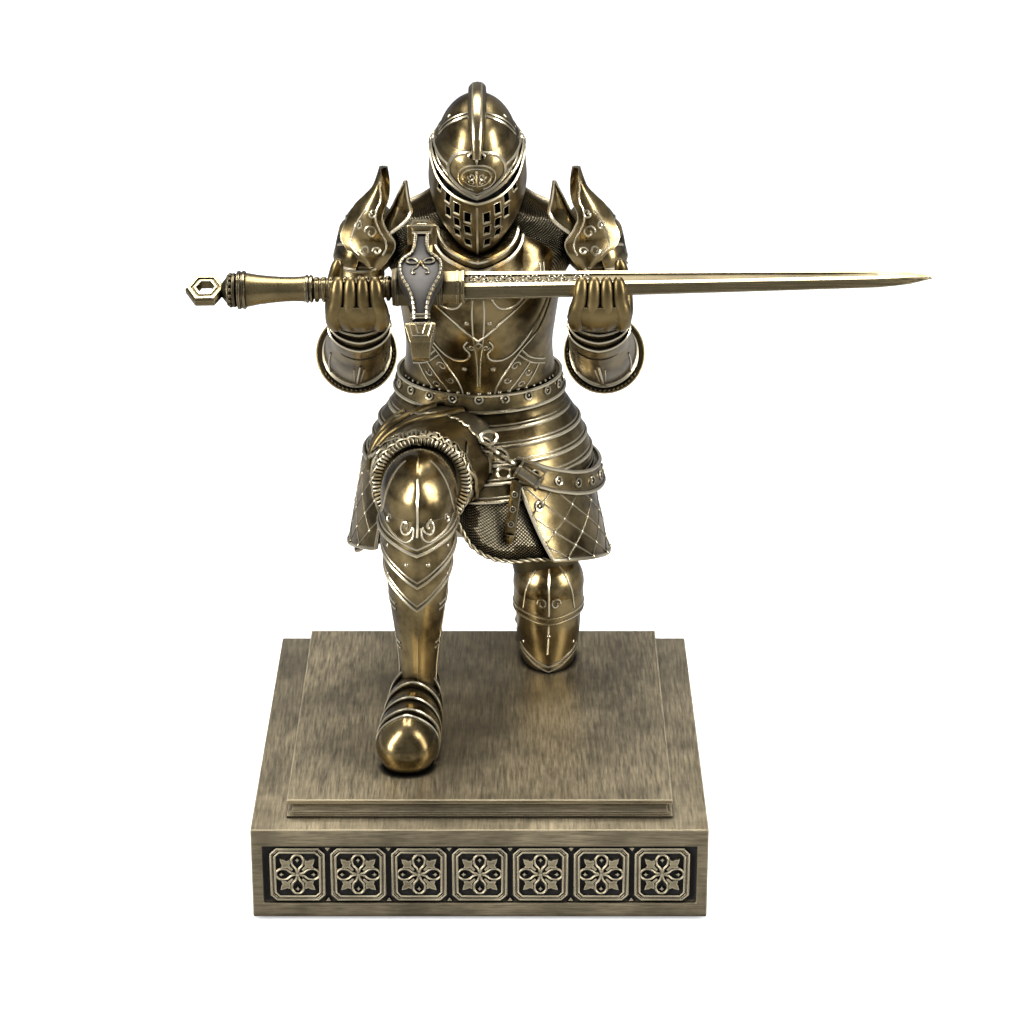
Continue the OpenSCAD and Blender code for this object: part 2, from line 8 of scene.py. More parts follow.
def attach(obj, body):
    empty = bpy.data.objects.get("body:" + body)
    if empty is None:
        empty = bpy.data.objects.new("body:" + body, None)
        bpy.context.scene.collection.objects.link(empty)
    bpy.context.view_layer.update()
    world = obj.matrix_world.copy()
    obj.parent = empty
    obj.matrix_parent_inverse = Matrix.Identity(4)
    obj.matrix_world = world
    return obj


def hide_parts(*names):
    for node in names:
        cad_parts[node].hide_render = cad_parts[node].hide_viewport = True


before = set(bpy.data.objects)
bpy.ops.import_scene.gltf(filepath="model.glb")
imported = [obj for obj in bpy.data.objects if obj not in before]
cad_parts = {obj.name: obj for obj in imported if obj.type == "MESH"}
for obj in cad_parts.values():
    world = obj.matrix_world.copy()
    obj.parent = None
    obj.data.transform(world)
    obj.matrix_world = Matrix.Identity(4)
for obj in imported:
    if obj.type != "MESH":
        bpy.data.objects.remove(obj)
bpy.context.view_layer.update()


# Felt pad. A sheet of dark felt glued under the plinth so that it doesn't scratch a desk.
# It is die cut a little smaller than the plinth, and only its edge is ever seen.
MM = 0.001


def new_material(name, metallic, rough):
    """An empty node material and its Principled shader."""
    material = bpy.data.materials.new(name)
    material.use_nodes = True
    shader = material.node_tree.nodes["Principled BSDF"]
    shader.inputs["Metallic"].default_value = metallic
    shader.inputs["Roughness"].default_value = rough
    return material, material.node_tree, shader


def add_node(tree, kind, links=(), **settings):
    """A node with its input values, and its links given as (output socket, input name)."""
    node = tree.nodes.new(kind)
    for key, value in settings.items():
        if hasattr(node, key) and key not in node.inputs:
            setattr(node, key, value)
        else:
            node.inputs[key.replace("_", " ")].default_value = value
    for source, name in links:
        tree.links.new(source, node.inputs[name])
    return node


def add_piece(name, bm, material, stands_for=(), body="statuette", sharp=40):
    """Turns a mesh drawn in millimetres into a finished piece that rides on a body."""
    bmesh.ops.scale(bm, vec=(MM, MM, MM), verts=bm.verts)
    for face in bm.faces:
        face.smooth = True
    for edge in bm.edges:
        if len(edge.link_faces) == 2 and edge.calc_face_angle(0) > radians(sharp):
            edge.smooth = False
    mesh = bpy.data.meshes.new(name)
    bm.to_mesh(mesh)
    bm.free()
    piece = bpy.data.objects.new(name, mesh)
    bpy.context.scene.collection.objects.link(piece)
    mesh.materials.append(material)
    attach(piece, body)
    if stands_for:
        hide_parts(*stands_for)
    return piece


def add_box(bm, low, high, bevel=0.0, segments=2):
    """A box between two corners with its edges rounded."""
    low, high = Vector(low), Vector(high)
    size = high - low
    place = Matrix.Translation((low + high) / 2) @ Matrix.Diagonal((*size, 1))
    verts = bmesh.ops.create_cube(bm, size=1, matrix=place)["verts"]
    if bevel:
        edges = list({e for v in verts for e in v.link_edges})
        bmesh.ops.bevel(bm, geom=edges, offset=bevel, segments=segments, profile=0.5, affect="EDGES",
            material=-1)


felt, tree, shader = new_material("dark_felt", 0.0, 0.95)
coord = add_node(tree, "ShaderNodeTexCoord")
fibre = add_node(tree, "ShaderNodeTexNoise", [(coord.outputs["Object"], "Vector")], Scale=2600.0, Detail=4.0)
tint = add_node(tree, "ShaderNodeMix", [(fibre.outputs["Fac"], 0)], data_type="RGBA")
tint.inputs[6].default_value, tint.inputs[7].default_value = (0.008, 0.008, 0.009, 1), (0.045, 0.042, 0.04, 1)
nap = add_node(tree, "ShaderNodeBump", [(fibre.outputs["Fac"], "Height")], Strength=0.5, Distance=0.0002)
tree.links.new(tint.outputs[2], shader.inputs["Base Color"])
tree.links.new(nap.outputs["Normal"], shader.inputs["Normal"])
shader.inputs["Sheen Weight"].default_value = 0.4

bm = bmesh.new()
add_box(bm, (-57, -57, 0), (57, 57, 1), 0.25, 1)
bmesh.ops.subdivide_edges(bm, edges=bm.edges[:], cuts=3, use_grid_fill=True)
add_piece("felt_pad_felt", bm, felt, ["felt_pad"])


# Plinth. A square slab cast in bronze-filled resin, with a sunk panel along each side for the tiles.
# It is painted near black and dry brushed with pale bronze along its faces, which catches every edge; a painted
# highlight brightens the edges further and painted shade darkens the recesses.
def painted_shade_and_highlight_group():
    """Masks for painted shade in what sits deep between pieces, and for a painted highlight along edges that
    stand out.
    """
    group = bpy.data.node_groups.new("painted_shade_and_highlight", "ShaderNodeTree")
    for name, value in (("Recess Depth", 0.002), ("Edge Width", 0.0004)):
        group.interface.new_socket(name, in_out="INPUT", socket_type="NodeSocketFloat").default_value = value
    for name in ("Recess", "Edge"):
        group.interface.new_socket(name, in_out="OUTPUT", socket_type="NodeSocketFloat")
    start, end = group.nodes.new("NodeGroupInput"), group.nodes.new("NodeGroupOutput")
    # Ambient occlusion gives the Recess mask, which the materials darken into painted shade.
    near = add_node(group, "ShaderNodeAmbientOcclusion", [(start.outputs["Recess Depth"], "Distance")],
        samples=6)
    deep = add_node(group, "ShaderNodeMapRange", [(near.outputs["AO"], "Value")])
    for name, value in (("From Min", 0.97), ("From Max", 0.56), ("To Min", 0.0), ("To Max", 1.0)):
        deep.inputs[name].default_value = value
    # Where the rounded normal bends away from the true one gives the Edge mask, which the materials brighten into
    # a painted highlight.
    soft = add_node(group, "ShaderNodeBevel", [(start.outputs["Edge Width"], "Radius")], samples=4)
    true = add_node(group, "ShaderNodeNewGeometry")
    along = add_node(group, "ShaderNodeVectorMath", operation="DOT_PRODUCT")
    group.links.new(soft.outputs["Normal"], along.inputs[0])
    group.links.new(true.outputs["Normal"], along.inputs[1])
    bent = add_node(group, "ShaderNodeMapRange", [(along.outputs["Value"], "Value")])
    for name, value in (("From Min", 0.995), ("From Max", 0.86), ("To Min", 0.0), ("To Max", 1.0)):
        bent.inputs[name].default_value = value
    open_only = add_node(group, "ShaderNodeMath", operation="SUBTRACT", use_clamp=True)
    group.links.new(bent.outputs["Result"], open_only.inputs[0])
    group.links.new(deep.outputs["Result"], open_only.inputs[1])
    group.links.new(deep.outputs["Result"], end.inputs["Recess"])
    group.links.new(open_only.outputs["Value"], end.inputs["Edge"])
    return group


def brush_group():
    """Long fine strokes: along X on upright front faces, along Y on flat and side faces."""
    group = bpy.data.node_groups.new("dry_brush_strokes", "ShaderNodeTree")
    group.interface.new_socket("Stroke", in_out="OUTPUT", socket_type="NodeSocketFloat")
    group.interface.new_socket("Patch", in_out="OUTPUT", socket_type="NodeSocketFloat")
    end = group.nodes.new("NodeGroupOutput")
    coord = add_node(group, "ShaderNodeTexCoord")
    strokes = []
    for scale in ((130, 1900, 1900), (1900, 130, 1900)):
        place = add_node(group, "ShaderNodeMapping", [(coord.outputs["Object"], "Vector")])
        place.inputs["Scale"].default_value = scale
        fine = add_node(group, "ShaderNodeTexNoise", [(place.outputs["Vector"], "Vector")], Scale=1.0,
            Detail=5.0, Roughness=0.62)
        strokes.append(fine.outputs["Fac"])
    facing = add_node(group, "ShaderNodeSeparateXYZ", [(coord.outputs["Normal"], "Vector")])
    front = add_node(group, "ShaderNodeMath", operation="ABSOLUTE")
    group.links.new(facing.outputs["Y"], front.inputs[0])
    pick = add_node(group, "ShaderNodeMix", [(front.outputs["Value"], 0), (strokes[1], "A"), (strokes[0], "B")])
    broad = add_node(group, "ShaderNodeTexNoise", [(coord.outputs["Object"], "Vector")], Scale=34.0, Detail=4.0,
        Roughness=0.6)
    group.links.new(pick.outputs[0], end.inputs["Stroke"])
    group.links.new(broad.outputs["Fac"], end.inputs["Patch"])
    return group


painted_shade_and_highlight, dry_brush = painted_shade_and_highlight_group(), brush_group()


def ramp(tree, source, stops):
    """A colour ramp with stops given as (place, grey or colour)."""
    node = add_node(tree, "ShaderNodeValToRGB", [(source, "Fac")])
    while len(node.color_ramp.elements) < len(stops):
        node.color_ramp.elements.new(0.5)
    for element, (place, colour) in zip(node.color_ramp.elements, stops):
        element.position = place
        element.color = (colour,) * 3 + (1,) if isinstance(colour, float) else (*colour, 1)
    return node.outputs["Color"]


def mix_colour(tree, factor, first, second, blend="MIX"):
    """Mixes two colours, each a socket or a colour."""
    node = add_node(tree, "ShaderNodeMix", data_type="RGBA", blend_type=blend)
    for index, value in ((0, factor), (6, first), (7, second)):
        if isinstance(value, bpy.types.NodeSocket):
            tree.links.new(value, node.inputs[index])
        else:
            node.inputs[index].default_value = value if isinstance(value, (int, float)) else (*value, 1)
    return node.outputs[2]


def brushed_base(name, dark, pale, edge):
    """Near-black bronze with pale strokes rubbed over it and along its edges, where a painted highlight adds to
    them, and painted shade in its recesses.
    """
    material, tree, shader = new_material(name, 0.72, 0.42)
    masks = add_node(tree, "ShaderNodeGroup", node_tree=painted_shade_and_highlight)
    masks.inputs["Recess Depth"].default_value, masks.inputs["Edge Width"].default_value = 0.0022, 0.0005
    brush = add_node(tree, "ShaderNodeGroup", node_tree=dry_brush)
    strokes = ramp(tree, brush.outputs["Stroke"], [(0.3, 0.25), (0.5, 0.62), (0.7, 1.0)])
    patch = ramp(tree, brush.outputs["Patch"], [(0.36, 0.42), (0.62, 1.0)])
    cover = mix_colour(tree, 1.0, strokes, patch, "MULTIPLY")
    body = mix_colour(tree, cover, dark, pale)
    # Pale along every edge: the dry brushing together with a painted highlight from the edge mask.
    rubbed_and_highlit = mix_colour(tree, masks.outputs["Edge"], body, edge)
    # Near black in every recess: painted shade from the occlusion mask.
    tree.links.new(mix_colour(tree, masks.outputs["Recess"], rubbed_and_highlit, (0.004, 0.0035, 0.003)),
        shader.inputs["Base Color"])
    tree.links.new(ramp(tree, brush.outputs["Stroke"], [(0.3, 0.36), (0.7, 0.56)]), shader.inputs["Roughness"])
    relief = add_node(tree, "ShaderNodeBump", [(brush.outputs["Stroke"], "Height")], Strength=0.22,
        Distance=0.0001)
    tree.links.new(relief.outputs["Normal"], shader.inputs["Normal"])
    return material


# Both carry a painted highlight on their edges and painted shade in their recesses.
base_bronze = brushed_base("base_dry_brushed", (0.055, 0.045, 0.028), (0.45, 0.37, 0.23), (0.76, 0.64, 0.41))
frame_gold = brushed_base("frieze_rubbed_highlit", (0.14, 0.115, 0.07), (0.52, 0.44, 0.28), (0.85, 0.74, 0.52))


def blackened(name, rough, scale, deep, paler_colour):
    """Near black with paler specks: a black wash on the plinth's sunk panels, and painted shadow inside the
    helmet's sight.
    """
    material, tree, shader = new_material(name, 0.1, rough)
    coord = add_node(tree, "ShaderNodeTexCoord")
    soot = add_node(tree, "ShaderNodeTexNoise", [(coord.outputs["Object"], "Vector")], Scale=scale, Detail=3.0)
    tree.links.new(mix_colour(tree, soot.outputs["Fac"], deep, paler_colour), shader.inputs["Base Color"])
    return material


panel_black = blackened("panel_black", 0.7, 900.0, (0.003, 0.003, 0.003), (0.016, 0.013, 0.009))

half, felt_top, plinth_top = 60, 1, 27
panel_half, panel_low, panel_high, panel_deep = 56, 5, 22, 1.2
bm = bmesh.new()
add_box(bm, (-half, -half, felt_top), (half, half, plinth_top))
for side in range(4):
    turn = Matrix.Rotation(side * pi / 2, 4, "Z")
    face = max(bm.faces, key=lambda f: f.normal.dot(turn @ Vector((0, -1, 0))) * f.calc_area())
    bmesh.ops.inset_region(bm, faces=[face], thickness=half - panel_half, depth=0)
    for v in face.verts:
        v.co.z = panel_high if v.co.z > (felt_top + plinth_top) / 2 else panel_low
    bmesh.ops.inset_region(bm, faces=[face], thickness=0.25, depth=-panel_deep)
crisp = [e for e in bm.edges if e.calc_face_angle(0) > radians(50)]
bmesh.ops.bevel(bm, geom=crisp, offset=0.35, segments=2, profile=0.5, affect="EDGES", material=-1)
plinth = add_piece("plinth", bm, base_bronze, ["base_plinth"])
plinth.data.materials.append(panel_black)
for face in plinth.data.polygons:
    sunk = half - max(abs(face.center.x), abs(face.center.y)) / MM
    if abs(face.normal.z) < 0.1 and 0.9 < sunk < 1.5:
        face.material_index = 1


# Frieze. Seven square tiles in low relief fill each side's panel, cast with the plinth.
# Each has a double border with cut corners, four open petals with a diamond in each, and four corner leaves.
def stamp(bm, outline, low, high, taper=0.86):
    """A raised flat shape from a closed outline, with sides that lean in."""
    verts = [bm.verts.new((x, y, low)) for x, y in outline]
    face = bm.faces.new(verts)
    if sum(a.co.x * b.co.y - b.co.x * a.co.y for a, b in zip(verts, verts[1:] + verts[:1])) < 0:
        face.normal_flip()
    made = bmesh.ops.extrude_face_region(bm, geom=[face])["geom"]
    top = [g for g in made if isinstance(g, bmesh.types.BMVert)]
    middle = sum((v.co for v in top), Vector()) / len(top)
    for v in top:
        v.co = Vector((middle.x + (v.co.x - middle.x) * taper, middle.y + (v.co.y - middle.y) * taper, high))
    bmesh.ops.delete(bm, geom=[face], context="FACES")


def fresh_mesh():
    """An empty mesh whose points can be marked as raised, so that materials rub them bright and paint a highlight
    on them.
    """
    bm = bmesh.new()
    bm.verts.layers.float.new("raised")
    return bm


def ring_edges(bm, sides, place=None, radius=1):
    """A circle to be drawn into a section; gives its points and its edges."""
    verts = bmesh.ops.create_circle(bm, segments=sides, radius=radius, matrix=place or Matrix())["verts"]
    return verts, list({e for v in verts for e in v.link_edges})


def join_rings(bm, loops, closed=False):
    """Skins rings of edges in their order, fills both ends unless it is closed, and turns the faces outwards."""
    faces = []
    for first, second in zip(loops, loops[1:] + (loops[:1] if closed else [])):
        faces += bmesh.ops.bridge_loops(bm, edges=first + second)["faces"]
    if not closed:
        for edges in (loops[0], loops[-1]):
            faces += bmesh.ops.contextual_create(bm, geom=edges)["faces"]
    bmesh.ops.recalc_face_normals(bm, faces=faces)


def tube(bm, points, radius, closed=False, sides=6, flat=1.0, up=None, raised=1.0):
    """A round bar along points, with a radius for all or one for each."""
    mark = bm.verts.layers.float.get("raised")
    points = [Vector(p) for p in points]
    count = len(points)
    radii = radius if isinstance(radius, (list, tuple)) else [radius] * count
    loops, side = [], None
    for i, p in enumerate(points):
        before = points[i - 1] if i or closed else p
        after = points[(i + 1) % count] if i < count - 1 or closed else p
        along = (after - before).normalized()
        if side is None:
            side = (up or (Vector((0, 0, 1)) if abs(along.z) < 0.9
                else Vector((0, 1, 0)))).cross(along).normalized()
        side = (side - along * side.dot(along)).normalized()
        if up is not None:
            side = up.cross(along).normalized()
        turn = Matrix((side, along.cross(side), along)).transposed().to_4x4()
        place = Matrix.Translation(p) @ turn @ Matrix.Diagonal((radii[i], radii[i] * flat, 1, 1))
        verts, edges = ring_edges(bm, sides, place)
        loops.append(edges)
        if mark:
            for v in verts:
                v[mark] = raised
    join_rings(bm, loops, closed)


def through(keys, per=5, closed=False):
    """Rows of numbers on a smooth line through the key rows."""
    keys = [tuple(k) for k in keys]
    count, rows = len(keys), []
    for i in range(count if closed else count - 1):
        if closed:
            a, b, c, d = (keys[(i + k) % count] for k in (-1, 0, 1, 2))
        else:
            b, c = keys[i], keys[i + 1]
            a = keys[i - 1] if i else b
            d = keys[i + 2] if i + 2 < count else c
        for k in range(per):
            t = k / per
            rows.append(tuple(
                0.5 * (2 * q + (r - p) * t + (2 * p - 5 * q + 4 * r - s) * t * t
                + (3 * q - p - 3 * r + s) * t ** 3)
                for p, q, r, s in zip(a, b, c, d)))
    return rows if closed else rows + [keys[-1]]


def cut_corner_square(w, h, cut):
    return [(w - cut, -h), (w, -h + cut), (w, h - cut), (w - cut, h), (-w + cut, h), (-w, h - cut),
        (-w, -h + cut), (-w + cut, -h)]


petal = through([(0.5, 0.12), (1.7, 0.5), (2.7, 1.35), (4.2, 1.62), (5.4, 0.95), (5.75, 0), (5.4, -0.95),
    (4.2, -1.62), (2.7, -1.35), (1.7, -0.5), (0.5, -0.12)], 3)
leaf = [(1.5, -0.3), (3.3, -0.45), (3.5, -1.0), (4.5, -1.9), (4.9, -0.95), (5.6, -0.8), (6.9, 0), (5.6, 0.8),
    (4.9, 0.95), (4.5, 1.9), (3.5, 1.0), (3.3, 0.45), (1.5, 0.3)]
diamond = [(3.2, 0), (4.0, -0.3), (4.3, -0.9), (4.6, -0.3), (5.2, 0), (4.6, 0.3), (4.3, 0.9), (4.0, 0.3)]
tile = bmesh.new()
for w, h, cut, thick in ((6.95, 7.55, 1.5, 0.34), (5.95, 6.55, 1.2, 0.34)):
    tube(tile, [(x, y, 0.62) for x, y in cut_corner_square(w, h, cut)], thick, closed=True, sides=6,
        up=Vector((0, 0, 1)))
tube(tile, [(x, y, 0.42) for x, y in cut_corner_square(6.5, 7.1, 1.35)], 0.42, closed=True, sides=4,
    up=Vector((0, 0, 1)))
for quarter in range(4):
    turn = Matrix.Rotation(quarter * pi / 2, 2)
    tube(tile, [(*(turn @ Vector(p)), 0.55) for p in petal], 0.34, sides=5, up=Vector((0, 0, 1)))
    stamp(tile, [turn @ Vector(p) for p in diamond], 0.0, 0.8, 0.6)
    diagonal = Matrix.Rotation(quarter * pi / 2 + pi / 4, 2)
    stamp(tile, [diagonal @ Vector(p) for p in leaf], 0.0, 0.85, 0.84)
stamp(tile, [(0.75 * cos(k * pi / 4), 0.75 * sin(k * pi / 4)) for k in range(8)], 0.2, 1.05, 0.55)
tile_mesh = bpy.data.meshes.new("tile")
tile.to_mesh(tile_mesh)
tile.free()
pitch = 2 * panel_half / 7
for name, side in (("front", 0), ("right", 1), ("back", 2), ("left", 3)):
    bm = bmesh.new()
    for k in range(7):
        begin = len(bm.verts)
        bm.from_mesh(tile_mesh)
        bm.verts.ensure_lookup_table()
        bmesh.ops.translate(bm, vec=((k - 3) * pitch, 0, 0), verts=bm.verts[begin:])
        if k < 6:
            for s in (-1, 1):
                x, y = (k - 2.5) * pitch, s * (panel_high - panel_low - 0.9) / 2
                stamp(bm, [(x - 0.9, y), (x + 0.9, y), (x, y - s * 1.3)] if s < 0
                    else [(x + 0.9, y), (x - 0.9, y), (x, y - s * 1.3)], 0, 0.7, 0.7)
    bmesh.ops.translate(bm, vec=(0, 0, 0.02), verts=bm.verts)
    stand = Matrix.Rotation(side * pi / 2, 4,
        "Z") @ Matrix.Translation((0, -half + panel_deep,
        (panel_low + panel_high) / 2)) @ Matrix.Rotation(pi / 2, 4, "X")
    bmesh.ops.transform(bm, matrix=stand, verts=bm.verts)
    add_piece("frieze_tiles_" + name, bm, frame_gold, ["frieze_" + name])


# Moulded plate. A step on the plinth that the knight kneels on, cast with it, longer front to back than across.
# Its edge has a thin top lip, a hollow cove with two fine quirks and a thin bottom lip.
def square_loft(bm, rows):
    """A stack of rectangles, each (height, half width, half depth), closed at both ends."""
    loops = []
    for z, w, d in rows:
        place = Matrix.Translation((0, 0, z)) @ Matrix.Diagonal((w, d, 1, 1)) @ Matrix.Rotation(pi / 4, 4, "Z")
        loops.append(ring_edges(bm, 4, place, math.sqrt(2))[1])
    join_rings(bm, loops)


plate_w, plate_d, floor_z = 50.8, 53.4, 32.4
bm = bmesh.new()
square_loft(bm, [(plinth_top + z, plate_w - t, plate_d - t) for z, t in (
    (0, 0.0), (0.7, 0.0), (0.85, 0.55), (1.1, 0.6), (1.2, 1.0), (1.7, 1.25), (2.4, 1.5), (3.1, 1.45),
    (3.6, 1.15), (3.75, 0.75), (4.1, 0.7), (4.25, 0.15), (5.2, 0.0), (5.4, 0.2))])
add_piece("moulded_plate", bm, base_bronze, ["top_plate"], sharp=25)


# Base screws. Two plated steel screws come up through the felt, plinth and plate into the front foot and the
# kneeling knee. Only their heads can be seen, from beneath, once the felt is off. Their form is right as the
# CAD node has it.
def plated(name, rough, scale, detail, dull, bright, smooth, coarse):
    """A plain metal whose colour and gloss change with its fine grain."""
    material, tree, shader = new_material(name, 1.0, rough)
    coord = add_node(tree, "ShaderNodeTexCoord")
    grain = add_node(tree, "ShaderNodeTexNoise", [(coord.outputs["Object"], "Vector")], Scale=scale,
        Detail=detail)
    tree.links.new(mix_colour(tree, grain.outputs["Fac"], dull, bright), shader.inputs["Base Color"])
    tree.links.new(ramp(tree, grain.outputs["Fac"], [(0.3, smooth), (0.7, coarse)]), shader.inputs["Roughness"])
    return material


def finish_node(node, material):
    """Gives a CAD node that stays in view its material."""
    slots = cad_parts[node].material_slots
    for slot in slots:
        slot.material = material
    if not slots:
        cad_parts[node].data.materials.append(material)


finish_node("base_screws", plated("screw_plating", 0.3, 900.0, 3.0, (0.42, 0.42, 0.41), (0.66, 0.65, 0.62),
    0.22, 0.42))


# Right foot. A cast sabaton that stands flat on the plate: an egg-shaped toe cap with a ridge and a beaded
# rim, and four lames behind it that hinge on a rivet at each side of the ankle. Polished, with dark wash and
# painted shade in the joints.
def oval_loft(bm, rows, per=4, sides=48, fold=0.8):
    """Skins ovals and gives each ring's points. A row is (x, y, z, half width, half depth), and where it has
    them its lean in degrees, the ridge in front and how far the front drops."""
    rings, loops = [], []
    smooth_rows = through([(*row, 0, 0, 0)[:8] for row in rows], per)
    if fold:
        x, y, z, w, d, lean, keel, drop = smooth_rows[-1]
        smooth_rows.append((x, y, z, max(w - fold, 0.1), max(d - fold, 0.1), lean, keel, drop))
    for x, y, z, w, d, lean, keel, drop in smooth_rows:
        verts, edges = ring_edges(bm, sides)
        loops.append(edges)
        place = Matrix.Translation((x, y, z)) @ Matrix.Rotation(radians(lean), 4, "X")
        for v in verts:
            turn = abs(math.atan2(v.co.x, -v.co.y))
            ridge = 1 + keel * max(0.0, 1 - turn / 0.55) ** 1.2
            v.co = place @ Vector((v.co.x * w * ridge, v.co.y * d * ridge, -drop * max(0.0, 1 - turn / 1.45)))
        rings.append([v.co.copy() for v in verts])
    join_rings(bm, loops)
    return rings


def keeled(rows, bm, spread=1.25, sides=96):
    """Ovals with a wide straight-sided keel in front."""
    rings, loops = [], []
    for x, y, z, w, d, keel, rise in through(rows, 5):
        verts, edges = ring_edges(bm, sides)
        loops.append(edges)
        for v in verts:
            turn = abs(math.atan2(v.co.x, -v.co.y))
            out = 1 + keel * max(0.0, 1 - turn / spread) ** 1.25
            v.co = Vector((x + v.co.x * w * out, y + v.co.y * d * out, z + rise * min(1.0, turn / 1.5) ** 2))
        rings.append([v.co.copy() for v in verts])
    join_rings(bm, loops)
    return rings


def rim(bm, ring, radius=0.4):
    """A raised bead all round a ring of points."""
    tube(bm, ring, radius, closed=True, sides=6)


def skin_of(bm):
    """A copy of the mesh's surface to set things on."""
    bm.normal_update()
    return BVHTree.FromBMesh(bm)


def on_skin(skin, point, lift=0.0):
    """The nearest place on a surface, lifted off it."""
    place, normal, _, _ = skin.find_nearest(Vector(point))
    return place + normal * lift


def line_on(bm, skin, keys, radius=0.28, per=4, closed=False, lift=0.0, sides=6, raised=1.0):
    """A raised line that follows a surface through key points."""
    points = [on_skin(skin, p, lift) for p in through(keys, per, closed)]
    kept = [points[0]]
    for p in points[1:]:
        if (p - kept[-1]).length > 0.12:
            kept.append(p)
    tube(bm, kept, radius, closed=closed, sides=sides, raised=raised)


def rivets(bm, skin, points, radius=0.6, squash=0.7):
    """Domed heads standing on a surface."""
    for p in points:
        place, normal, _, _ = skin.find_nearest(Vector(p))
        turn = normal.to_track_quat("Z", "Y").to_matrix().to_4x4() @ Matrix.Diagonal((1, 1, squash, 1))
        made = bmesh.ops.create_uvsphere(bm, u_segments=10, v_segments=6, radius=radius,
            matrix=Matrix.Translation(place) @ turn)
        for v in made["verts"]:
            v[bm.verts.layers.float["raised"]] = 0.8


def eyelets(bm, skin, points, radius=0.95, thick=0.32):
    """Small rings with a domed middle."""
    for p in points:
        place, normal, _, _ = skin.find_nearest(Vector(p))
        turn = normal.to_track_quat("Z", "Y")
        ring = [place + normal * 0.15 + turn @ Vector((radius * cos(k * pi / 5), radius * sin(k * pi / 5), 0))
            for k in range(10)]
        tube(bm, ring, thick, closed=True, sides=5)
    rivets(bm, skin, points, radius * 0.45)


def flat_cut(bm, place, outward):
    """Cuts away what lies outwards of a plane and closes the cut."""
    cut = bmesh.ops.bisect_plane(bm, geom=bm.verts[:] + bm.edges[:] + bm.faces[:], dist=0.0001, plane_co=place,
        plane_no=outward, clear_outer=True)
    edges = [g for g in cut["geom_cut"] if isinstance(g, bmesh.types.BMEdge)]
    bmesh.ops.holes_fill(bm, edges=edges, sides=0)


def cut_at_plate(bm):
    """Cuts a piece off flat where it stands on the moulded plate."""
    flat_cut(bm, (0, 0, floor_z + 0.02), (0, 0, -1))


# Near black for recesses and the gaps between mail links: the dark wash there together with painted shade.
wash_and_painted_shade = (0.006, 0.0045, 0.003)


def aged_bronze(name, deep, body, bright, rough, metallic=1.0, grain=420.0, patina=0.35):
    """Bronze plating with dark wash and painted shade in every recess, paler edges and raised points that are
    rubbed and carry a painted highlight, and faint handling marks.
    """
    material, tree, shader = new_material(name, metallic, rough)
    masks = add_node(tree, "ShaderNodeGroup", node_tree=painted_shade_and_highlight)
    masks.inputs["Recess Depth"].default_value, masks.inputs["Edge Width"].default_value = 0.0024, 0.00028
    coord = add_node(tree, "ShaderNodeTexCoord")
    cloud = add_node(tree, "ShaderNodeTexNoise", [(coord.outputs["Object"], "Vector")], Scale=95.0, Detail=5.0,
        Roughness=0.6)
    fine = add_node(tree, "ShaderNodeTexNoise", [(coord.outputs["Object"], "Vector")], Scale=grain * 4,
        Detail=4.0, Roughness=0.6)
    tarnish = ramp(tree, cloud.outputs["Fac"], [(0.38, patina), (0.6, 0.0)])
    toned = mix_colour(tree, tarnish, body, deep)
    # Edges brightened by the edge mask: rubbed wear together with a painted highlight.
    rubbed_and_highlit = mix_colour(tree, masks.outputs["Edge"], toned, bright)
    # Points marked as raised are brightened too: rubbed wear together with a painted highlight.
    standing = add_node(tree, "ShaderNodeAttribute", attribute_name="raised")
    worn_and_highlit = ramp(tree, standing.outputs["Fac"], [(0.05, 0.0), (0.95, 0.8)])
    rubbed_and_highlit = mix_colour(tree, worn_and_highlit, rubbed_and_highlit, bright)
    # Recesses darkened by the occlusion mask: the dark wash together with painted shade.
    washed_and_shaded = mix_colour(tree, masks.outputs["Recess"], rubbed_and_highlit, wash_and_painted_shade)
    tree.links.new(washed_and_shaded, shader.inputs["Base Color"])
    gloss = mix_colour(tree, fine.outputs["Fac"], (rough - 0.06,) * 3, (rough + 0.1,) * 3)
    tree.links.new(mix_colour(tree, masks.outputs["Recess"], gloss, (0.6,) * 3), shader.inputs["Roughness"])
    marks = add_node(tree, "ShaderNodeBump", [(fine.outputs["Fac"], "Height")], Strength=0.12, Distance=0.00005)
    tree.links.new(marks.outputs["Normal"], shader.inputs["Normal"])
    return material


polished = aged_bronze("bronze_polished", (0.045, 0.03, 0.011), (0.34, 0.255, 0.12), (0.95, 0.84, 0.6), 0.2,
    patina=0.85)
satin = aged_bronze("bronze_satin", (0.06, 0.042, 0.016), (0.3, 0.22, 0.095), (0.9, 0.78, 0.52), 0.3,
    patina=0.6)

